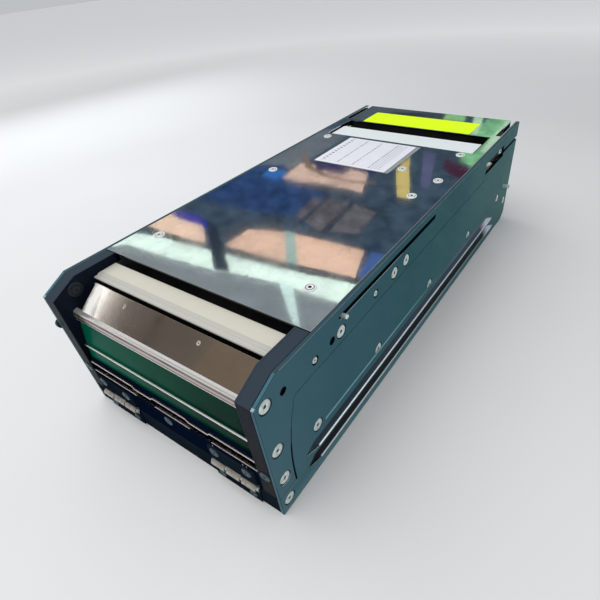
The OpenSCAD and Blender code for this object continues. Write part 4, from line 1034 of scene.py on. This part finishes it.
# lower front panel with a return flange above and below, and clearance at the hinge screws
lower = {"half": 98.6, "top": 44.9, "foot": 22.2, "hinge": 71, "screw": 16.5, "ticks": (53.0, 84.0, 87.5)}
front = Solid()
relief = [(circle(sign * lower["hinge"] + dx, 37.8, 1.8, 16), 1.0) for sign in (-1, 1)
          for dx in (-lower["screw"], lower["screw"])]
wide = lower["half"]
front.plate(alongY, mirrored([(wide, lower["top"]), (wide, 22.2), (95.6, 22.2), (95.6, 25.2), (46.4, 25.2),
                              (46.4, 22.2)]), 1.5, 0.0, 0.2, 0.5, relief)
front.plate(alongY, rect(-wide, 40.0, wide, 41.4), 17.0, 1.4, 0.2, 0.2)
front.plate(alongY, rect(-wide, lower["foot"], wide, 23.6), 17.0, 3.6, 0.2, 0.2)
makePiece("lowerEntryFace", front, "panel", "upper_unit", ("lower_entry_panel",))
ticks = Solid()
for x in lower["ticks"]:
    ticks.plate(alongY, rect(x, 41.0, x + 0.7, 44.6), 0.2, -0.35, 0.1, 0.2)
makePiece("registerMarks", ticks, "rose", "upper_unit")

# front sill: a skin with cut-outs for the hinges, its bottom, rear wall and two end boxes
sill = Solid()
sill.plate(alongY, mirrored([(112, 0.3), (112, 21.3), (97.0, 21.3), (97.0, 18.4), (45.0, 18.4),
                             (45.0, 21.3)]), 1.5, 0.0, 0.2, 0.5)
sill.plate(alongZ, rect(-112, 3.6, 112, 18.4), 19.9, 21.4, 0.1, 0.2)
sill.plate(alongZ, rect(-45, 1.2, 45, 4.0), 19.9, 21.4, 0.1, 0.2)
sill.plate(alongZ, rect(-112, 1.2, 112, 21.0), 0.0, 1.4, 0.2, 0.2)
for x in (-112, 102.6):
    sill.plate(alongX(), rect(1.4, 1.2, 18.2, 20.1), x, x + 9.3, 0.2, 0.2)
makePiece("frontSillSkin", sill, "sill", "lower_unit", ("front_sill",))
print("front done")


hinges = {"x": 71.0, "width": 48.0, "out": -1.5, "z": 21.8, "r": 3.0, "pin": 1.5, "gap": 0.3,
          "leaf": 1.5, "mouth": 1.0, "rim": 0.35, "length": 20.0}


def knuckle(solid, x0, x1):
    # rolled barrel with chamfered mouths
    r, pin, c, end = hinges["r"], hinges["pin"] + 0.05, hinges["rim"], x1 - x0
    solid.lathe(at(x0, hinges["out"], hinges["z"]), (1, 0, 0), [
        (pin, 0), (r - c, 0), (r, c), (r, end - c), (r - c, end), (pin, end), (pin, 0)], 36)


def neck(solid, x0, x1, s):
    # flat of the rolled sheet between the barrel and the leaf
    z = hinges["z"]
    solid.plate(alongX(), [(-1.7, z), (0.0, z), (0.0, z + s * 4.6), (-1.75, z + s * 4.6)], x0, x1, 0.2, 0.2)


def leaf(solid, x, up):
    # a leaf's plate with a neck to each knuckle; the result is the span of each knuckle
    width, gap, z = hinges["width"], hinges["gap"], hinges["z"]
    third = (width - 2 * gap) / 3
    x0 = x - width / 2
    spans = [(x0 + third + gap, x0 + 2 * third + gap)] if up else [
        (x0, x0 + third), (x0 + width - third, x0 + width)]
    s = 1 if up else -1
    root, mouth, end = z + s * 3.8, z + s * 1.6, z + s * hinges["length"]
    edge = [(x0, root)]
    for a, b in spans:
        edge += [(a, root), (a, mouth), (b, mouth), (b, root)]
    edge += [(x0 + width, root), (x0 + width, end), (x0, end)]
    clean = [p for i, p in enumerate(edge) if (Vector(p) - Vector(edge[i - 1])).length > 0.05]
    solid.plate(alongY, roundPath(clean, 0.9, 3, closed=True), 0.0, -hinges["leaf"], 0.1, 0.3)
    return spans


for label, up, body in (("Lower", False, "lower_unit"), ("Upper", True, "upper_unit")):
    leaves, barrels = Solid(), Solid()
    for x in (-hinges["x"], hinges["x"]):
        for a, b in leaf(leaves, x, up):
            knuckle(barrels, a + hinges["mouth"], b - hinges["mouth"])
            neck(barrels, a + 0.1, b - 0.1, 1 if up else -1)
    makePiece("hingeLeaves" + label, leaves, "sill", body, ("hinge_leaves_" + label.lower(),))
    makePiece("hingeBarrels" + label, barrels, "hinge", body)
pins = Solid()
for x in (-hinges["x"], hinges["x"]):
    half = hinges["width"] / 2
    pins.lathe(at(x - half - 0.4, hinges["out"], hinges["z"]), (1, 0, 0), [
        (0, 0), (1.2, 0), (1.5, 0.3), (1.5, 48.5), (1.2, 48.8), (0, 48.8)], 28)
makePiece("hingePinRods", pins, "zinc", "lower_unit", ("hinge_pins",))
print("hinges done")


cover = {"half": 111.6, "front": 63.0, "rear": 524.0, "thick": 1.5, "windowHalf": 100.0,
         "windowFront": 396.0, "windowRear": 453.0, "notchFront": 461.0, "notchIn": 104.0, "notchOut": 110.0}
sheet = Solid()
top = plates["height"]
h, f, r = cover["half"], cover["front"], cover["rear"]
n0, n1, ny = cover["notchIn"], cover["notchOut"], cover["notchFront"]
outline = [(-h, f), (h, f), (h, r), (n1, r), (n1, ny), (n0, ny), (n0, r),
           (-n0, r), (-n0, ny), (-n1, ny), (-n1, r), (-h, r)]
w, y0, y1 = cover["windowHalf"], cover["windowFront"], cover["windowRear"]
window = roundPath(rect(-w, y0, w, y1), 0.8, 3, closed=True)
sheet.plate(alongZ, outline, top - cover["thick"], top, 0.1, 0.3, [(window, None)])
makePiece("topCoverSheet", sheet, "cover", "upper_unit")
fold = Solid()
fold.plate(alongY, rect(-n0, 109, n0, 135.9), r - cover["thick"], r, 0.2, 0.4)
makePiece("topCoverTail", fold, "rearCoat", "upper_unit", ("top_cover",))


def stickerOutline(low, high, r):
    x0, y0, x1, y1 = low[0] / mm, (low[1] - frontY) / mm, high[0] / mm, (high[1] - frontY) / mm
    return roundPath(rect(x0, y0, x1, y1), r, 4, closed=True)


label = Solid()
label.plate(alongZ, stickerOutline(*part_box("white_label"), 1.5), 136.03, 136.16, 0, 0.05)
makePiece("whiteLabelSheet", label, "white", "upper_unit", ("white_label",))
film = Solid()
film.plate(alongZ, roundPath(rect(-61, 307.5, 37.5, 391.5), 2.5, 4, closed=True), top, 136.05, 0, 0.02)
makePiece("labelFilmSheet", film, "film", "upper_unit")
sticker = Solid()
sticker.plate(alongZ, stickerOutline(*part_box("yellow_label"), 3.0), top, 136.14, 0, 0.06)
makePiece("yellowLabelSheet", sticker, "yellow", "upper_unit", ("yellow_label",))
# inner fold behind the window, in the black fill: painted shade over the inside
flange = Solid()
flange.across(rect(454.2, 119.0, 455.4, 134.4), 97.0, 0.2)
makePiece("windowShadeFold", flange, "dark", "upper_unit")
print("cover done")


small = Solid()
studs = Solid()
knobs = Solid()
for sign in (1, -1):
    r, h = slot["pinR"], slot["pinEnd"] - 109
    small.lathe(at(sign * 109, slot["pinY"], slot["z"]), (sign, 0, 0),
                [(0, 0), (r, 0), (r, h - 0.5), (r - 0.4, h - 0.05), (0, h)], 28)
    studs.lathe(at(sign * 114.9, 495, 60), (sign, 0, 0), [
        (0, 0), (2.5, 0), (2.5, 6.2), (2.1, 6.6), (2.1, 7.4), (2.5, 7.8), (2.5, 8.6), (2.1, 9.0),
        (0, 9.05)], 32)
    knobs.lathe(at(sign * 99.1, 19.6, 125.0), (-sign, 0, 0), [
        (0, 0), (6.5, 0), (6.5, 0.9), (6.1, 1.3), (5.0, 1.35), (4.8, 0.9), (3.7, 0.9), (3.5, 1.7), (3.2, 2.0),
        (1.4, 2.0), (1.2, 1.2), (0, 1.2)], 36)
makePiece("slotPins", small, "zinc", "upper_unit", ("guide_pins",))
makePiece("railStuds", studs, "zinc", "lower_unit", ("locating_studs",))
# the round boss outside the left post and the one inside it
low, high = min(looseParts("post_knobs"), key=lambda pair: pair[0].x)
knobY, knobZ = (low.y + high.y) / 2, (low.z + high.z) / 2
knobs.lathe(at(-115, knobY, knobZ), (-1, 0, 0), [
    (0, 0), (3.4, 0), (3.4, 0.8), (4.4, 1.0), (4.5, 1.6), (4.5, 4.2), (4.1, 4.8), (2.6, 5.0), (2.4, 4.6),
    (0, 4.6)], 36)
knobs.lathe(at(99, 4.6, 89), (-1, 0, 0), [
    (0, 0), (3.0, 0), (3.0, 1.9), (2.4, 2.8), (1.3, 2.9), (1.2, 2.2), (0, 2.2)], 28)
makePiece("postKnobs", knobs, "knob", "upper_unit", ("post_knobs",))
print("small outside parts done")


# pieces that keep the CAD's shape: node, paint, size of the rounded edges
inside = [
    ("latch_shaft", "shaft", 0.25), ("latch_levers", "lever", 0.3), ("latch_hooks", "steel", 0.3),
    ("latch_keepers", "zinc", 0.25), ("lower_frames", "steel", 0.15), ("upper_frames", "phosphate", 0.15),
    ("cross_members", "steel", 0.2), ("bottom_plate", "steel", 0.2), ("lower_rear_plate", "rearCoat", 0.2),
    ("lower_note_guide", "black", 0.2), ("upper_note_guide", "black", 0.2), ("lower_sensor", "black", 0.3),
    ("upper_sensor", "black", 0.3), ("lower_sensor_glass", "glass", 0.15),
    ("upper_sensor_glass", "glass", 0.15), ("magnetic_head", "steel", 0.25), ("shaft_bushes", "brass", 0.15),
    ("drive_motor", "zinc", 0.5), ("transport_belts_front", "belt", 0.2),
    ("transport_belts_rear", "belt", 0.2), ("timing_belt", "timing", 0.2), ("control_board", "board", 0.1),
    ("board_parts", "chip", 0.2), ("rear_connectors", "ivory", 0.35),
]
for i in range(1, 5):
    inside += [("belt_drum_%d" % i, "shaft", 0.3), ("pinch_roller_%d" % i, "rubber", 0.4)]
inside += [("drive_gear", "gear", 0.15), ("motor_pinion", "brass", 0.1)]
for node, paint, bevel in inside:
    refined(node, paint, bevel)
print("inside done")


view = {"x": 253.2, "y": -97.9, "z": 328.7, "azimuth": 36.52, "elevation": 39.43, "roll": -5.18,
        "lens": 26.45, "shiftX": -0.0604, "shiftY": 0.015}
camera = bpy.data.cameras.new("camera")
camera.sensor_width = 36
camera.lens = view["lens"]
camera.shift_x, camera.shift_y = view["shiftX"], view["shiftY"]
camera.clip_start = 0.01
eye = bpy.data.objects.new("camera", camera)
scene.collection.objects.link(eye)
az, el, roll = (math.radians(view[k]) for k in ("azimuth", "elevation", "roll"))
ahead = Vector((-math.sin(az) * math.cos(el), math.cos(az) * math.cos(el), -math.sin(el)))
right = Vector((math.cos(az), math.sin(az), 0))
up = right.cross(ahead)
right, up = right * math.cos(roll) + up * math.sin(roll), up * math.cos(roll) - right * math.sin(roll)
eye.matrix_world = Matrix((right, up, -ahead)).transposed().to_4x4()
eye.location = at(view["x"], view["y"], view["z"])
scene.camera = eye

floorLook = {"half": 6, "drop": 0.0002, "near": 750, "far": 1900}
floorMesh = bpy.data.meshes.new("floor")
size = floorLook["half"]
floorMesh.from_pydata([(x, y, 0) for x, y in rect(-size, -size, size, size)], [], [(0, 1, 2, 3)])
floor = bpy.data.objects.new("floor", floorMesh)
scene.collection.objects.link(floor)
floor.location.z = -floorLook["drop"]
# the floor turns paler and glows further from the part: painted light that makes up for the lamps' fall-off
ground = Paint("paleFloor", Specular_IOR_Level=0.2, Emission_Strength=1.0)
floorX, floorY, _ = ground.axes()
paintedFarLight = ground.spread(floorX * floorX + floorY * floorY, floorLook["near"] ** 2, floorLook["far"] ** 2)
paleGround = ground.blend(ground.noise(0.004, 2), (0.56, 0.56, 0.56), (0.60, 0.60, 0.60))
ground.set(Base_Color=ground.blend(paintedFarLight, paleGround, (0.90, 0.90, 0.89)),
           Roughness=0.6 + ground.noise(0.02, 2) * 0.1,
           Emission_Color=ground.blend(paintedFarLight, (0, 0, 0), (0.12, 0.12, 0.12)))
floorMesh.materials.append(ground.mat)

world = bpy.data.worlds.new("studio")
scene.world = world
world.use_nodes = True
world.node_tree.nodes["Background"].inputs[0].default_value = (0.93, 0.96, 1.0, 1)
world.node_tree.nodes["Background"].inputs[1].default_value = 0.55


def softbox(name, place, target, size, power, colour=(1, 1, 1)):
    light = bpy.data.lights.new(name, "AREA")
    light.shape = "RECTANGLE"
    light.size, light.size_y = size
    light.energy = power
    light.color = colour
    lamp = bpy.data.objects.new(name, light)
    scene.collection.objects.link(lamp)
    lamp.location = at(*place)
    lamp.rotation_euler = (at(*target) - lamp.location).to_track_quat("-Z", "Y").to_euler()
    lamp.visible_glossy = False


softbox("overheadSoftbox", (-300, -200, 1500), (0, 200, 60), (1.6, 1.6), 19)
softbox("keySoftbox", (900, -700, 900), (0, 200, 60), (0.9, 0.9), 6.5, (1, 0.98, 0.95))
softbox("fillSoftbox", (-1000, 500, 700), (0, 250, 60), (1.0, 1.0), 5.5, (0.93, 0.97, 1))

lens = at(view["x"], view["y"], view["z"])
# planes that reflect the cards: a corner, and the ways that count the cards' corners
topPlane = (at(0, 0, 136), Vector((1, 0, 0)), Vector((0, 1, 0)))
slopeUp = Vector((0, 20.8, 14.7)).normalized()
entryPlane = (at(0, 12.6, 110.3), Vector((1, 0, 0)), slopeUp)


def card(name, plane, corners, reach, colour, mottle=0.15, grain=0.006):
    # a glowing card placed so that the polished plane shows it at these corners
    origin, u, v = plane
    n = u.cross(v)
    twin = lens - n * 2 * (lens - origin).dot(n)
    spots = []
    for a, b in corners:
        spot = origin + u * a * mm + v * b * mm
        spots.append(spot + (spot - twin) * reach)
    mesh = bpy.data.meshes.new(name)
    mesh.from_pydata([tuple(s) for s in spots], [], [tuple(range(len(spots)))])
    sheet = bpy.data.objects.new(name, mesh)
    scene.collection.objects.link(sheet)
    glow = Paint(name + "Glow", Roughness=1.0, Specular_IOR_Level=0.0, Emission_Strength=1.0)
    wearAndSheen = tuple(c * (1 - mottle) for c in colour)
    glow.set(Base_Color=(0, 0, 0), Emission_Color=glow.blend(
        glow.spread(glow.noise(grain, 5, (1, 1, 1), 0.65), 0.35, 0.65), wearAndSheen, colour))
    mesh.materials.append(glow.mat)
    sheet.visible_camera = sheet.visible_diffuse = sheet.visible_shadow = False
    sheet.visible_transmission = False


patchyCards = ("duskCard", "blueCard", "brownCard", "greenRight")
reflections = [
    ("duskCard", [(-260, 60), (200, 60), (200, 640), (-260, 640)], (0.075, 0.12, 0.17)),
    ("greyCard", [(-240, 50), (200, 50), (200, 96), (112, 104), (0, 92), (-240, 84)], (0.28, 0.32, 0.335)),
    ("smokeCard", [(-125, 255), (-125, 400), (-70, 420), (-66, 330), (-72, 270)], (0.17, 0.20, 0.23)),
    ("lilacCard", [(-112, 456), (-112, 540), (20, 540), (20, 456)], (0.10, 0.13, 0.15)),
    ("blueCard", [(-125, 172), (-125, 262), (-84, 282), (-40, 250), (8, 236), (2, 186), (-40, 176)],
     (0.042, 0.092, 0.235)),
    ("skyPatch", [(-92, 262), (-70, 268), (-60, 254), (-66, 246), (-88, 244)], (0.05, 0.22, 0.62)),
    ("brownCard", [(-3, 228), (30, 232), (70, 226), (74, 184), (39, 173), (4, 188)], (0.20, 0.19, 0.21)),
    ("slatShade", [(8, 236), (13, 236), (20, 178), (14, 178)], (0.045, 0.06, 0.085)),
    ("slatShadeTwo", [(36, 238), (42, 238), (50, 172), (43, 172)], (0.045, 0.06, 0.085)),
    ("blueRight", [(99, 166), (116, 166), (116, 132), (107, 130)], (0.08, 0.16, 0.40)),
    ("navyCard", [(-60, 298), (-60, 318), (30, 318), (22, 300)], (0.03, 0.03, 0.12)),
    ("peachRear", [(-69, 292), (-62, 250), (-40, 250), (-11, 258), (36, 256), (18, 300), (-10, 302),
                   (-14, 290), (-40, 286), (-50, 296)], (0.84, 0.60, 0.47)),
    ("peachArc", [(-78, 318), (-52, 292), (-20, 279), (10, 277), (38, 284), (38, 278), (10, 271), (-22, 273),
                  (-56, 286), (-82, 312)], (0.24, 0.17, 0.13)),
    ("peachNotch", [(-46, 302), (-44, 289), (-8, 287), (-4, 302)], (0.05, 0.05, 0.13)),
    ("peachFront", [(-19, 147), (16, 160), (93, 164), (106, 128), (39, 120), (-19, 116)], (1.02, 0.68, 0.50)),
    ("peachLeft", [(-115, 143), (-96, 132), (-65, 135), (-42, 116), (-38, 109), (-76, 107), (-118, 109)],
     (1.18, 0.84, 0.62)),
    ("cobaltCard", [(-116, 139), (-88, 146), (-57, 139), (-57, 132), (-107, 134)], (0.03, 0.04, 0.42)),
    ("mintCard", [(-118, 92), (-92, 99), (-19, 105), (46, 111), (114, 122), (114, 97), (58, 95), (30, 91),
                  (0, 84), (-46, 80), (-100, 77), (-111, 68), (-118, 70)], (1.12, 1.36, 1.18)),
    ("mintLeg", [(58, 96), (71, 97), (104, 62), (96, 64)], (0.85, 1.10, 1.02)),
    ("edgeShade", [(-118, 106), (-50, 110), (0, 116), (114, 126), (114, 121), (0, 110), (-50, 104),
                   (-118, 99)], (0.05, 0.06, 0.075)),
    ("darkBeam", [(-65, 140), (-53, 140), (14, 89), (0, 85)], (0.03, 0.045, 0.07)),
    ("paleBeam", [(13, 161), (24, 161), (57, 121), (45, 121)], (0.45, 0.62, 0.56)),
    ("yellowCard", [(38, 362), (50, 334), (86, 262), (72, 262), (40, 322)], (0.70, 0.56, 0.20)),
    ("violetLine", [(46, 380), (62, 380), (92, 292), (84, 290)], (0.12, 0.13, 0.24)),
    ("maroonCard", [(77, 370), (114, 354), (114, 322), (85, 342)], (0.075, 0.022, 0.05)),
    ("greenRight", [(77, 540), (118, 540), (118, 356), (94, 370), (68, 448)], (0.30, 0.70, 0.36)),
    ("greenLeg", [(12, 540), (40, 540), (50, 498), (20, 498)], (0.30, 0.62, 0.26)),
    ("paleGreenLeg", [(50, 540), (64, 540), (84, 450), (76, 450)], (0.52, 0.78, 0.50)),
    ("paleGreenRim", [(98, 540), (111, 540), (112, 404), (104, 404)], (0.60, 0.82, 0.60)),
    ("inkBlot", [(-74, 504), (-20, 518), (14, 522), (14, 506), (-40, 496)], (0.02, 0.03, 0.045)),
]
for i, (name, corners, colour) in enumerate(reflections):
    patches = (0.6, 0.012) if name in patchyCards else (0.15, 0.006)
    card(name, topPlane, corners, 4.6 - 0.04 * i, colour, *patches)
slopeShows = [
    ("umberCard", [(-70, -30), (-70, 60), (130, 60), (130, -30)], (0.135, 0.116, 0.102)),
    ("tanCard", [(40, -30), (55, 60), (135, 60), (135, -30)], (0.18, 0.145, 0.11)),
    ("glowRim", [(-66, -30), (-66, 60), (-44, 60), (-52, -30)], (0.28, 0.26, 0.24)),
    ("glowCard", [(-140, -30), (-140, 60), (-64, 60), (-72, -30)], (1.5, 1.45, 1.38)),
    ("umberLine", [(-14, -30), (-10, -30), (0, 60), (-5, 60)], (0.03, 0.012, 0.012)),
]
for i, (name, corners, colour) in enumerate(slopeShows):
    card(name, entryPlane, corners, 2.2 - 0.05 * i, colour)
print("floor, light and camera set")

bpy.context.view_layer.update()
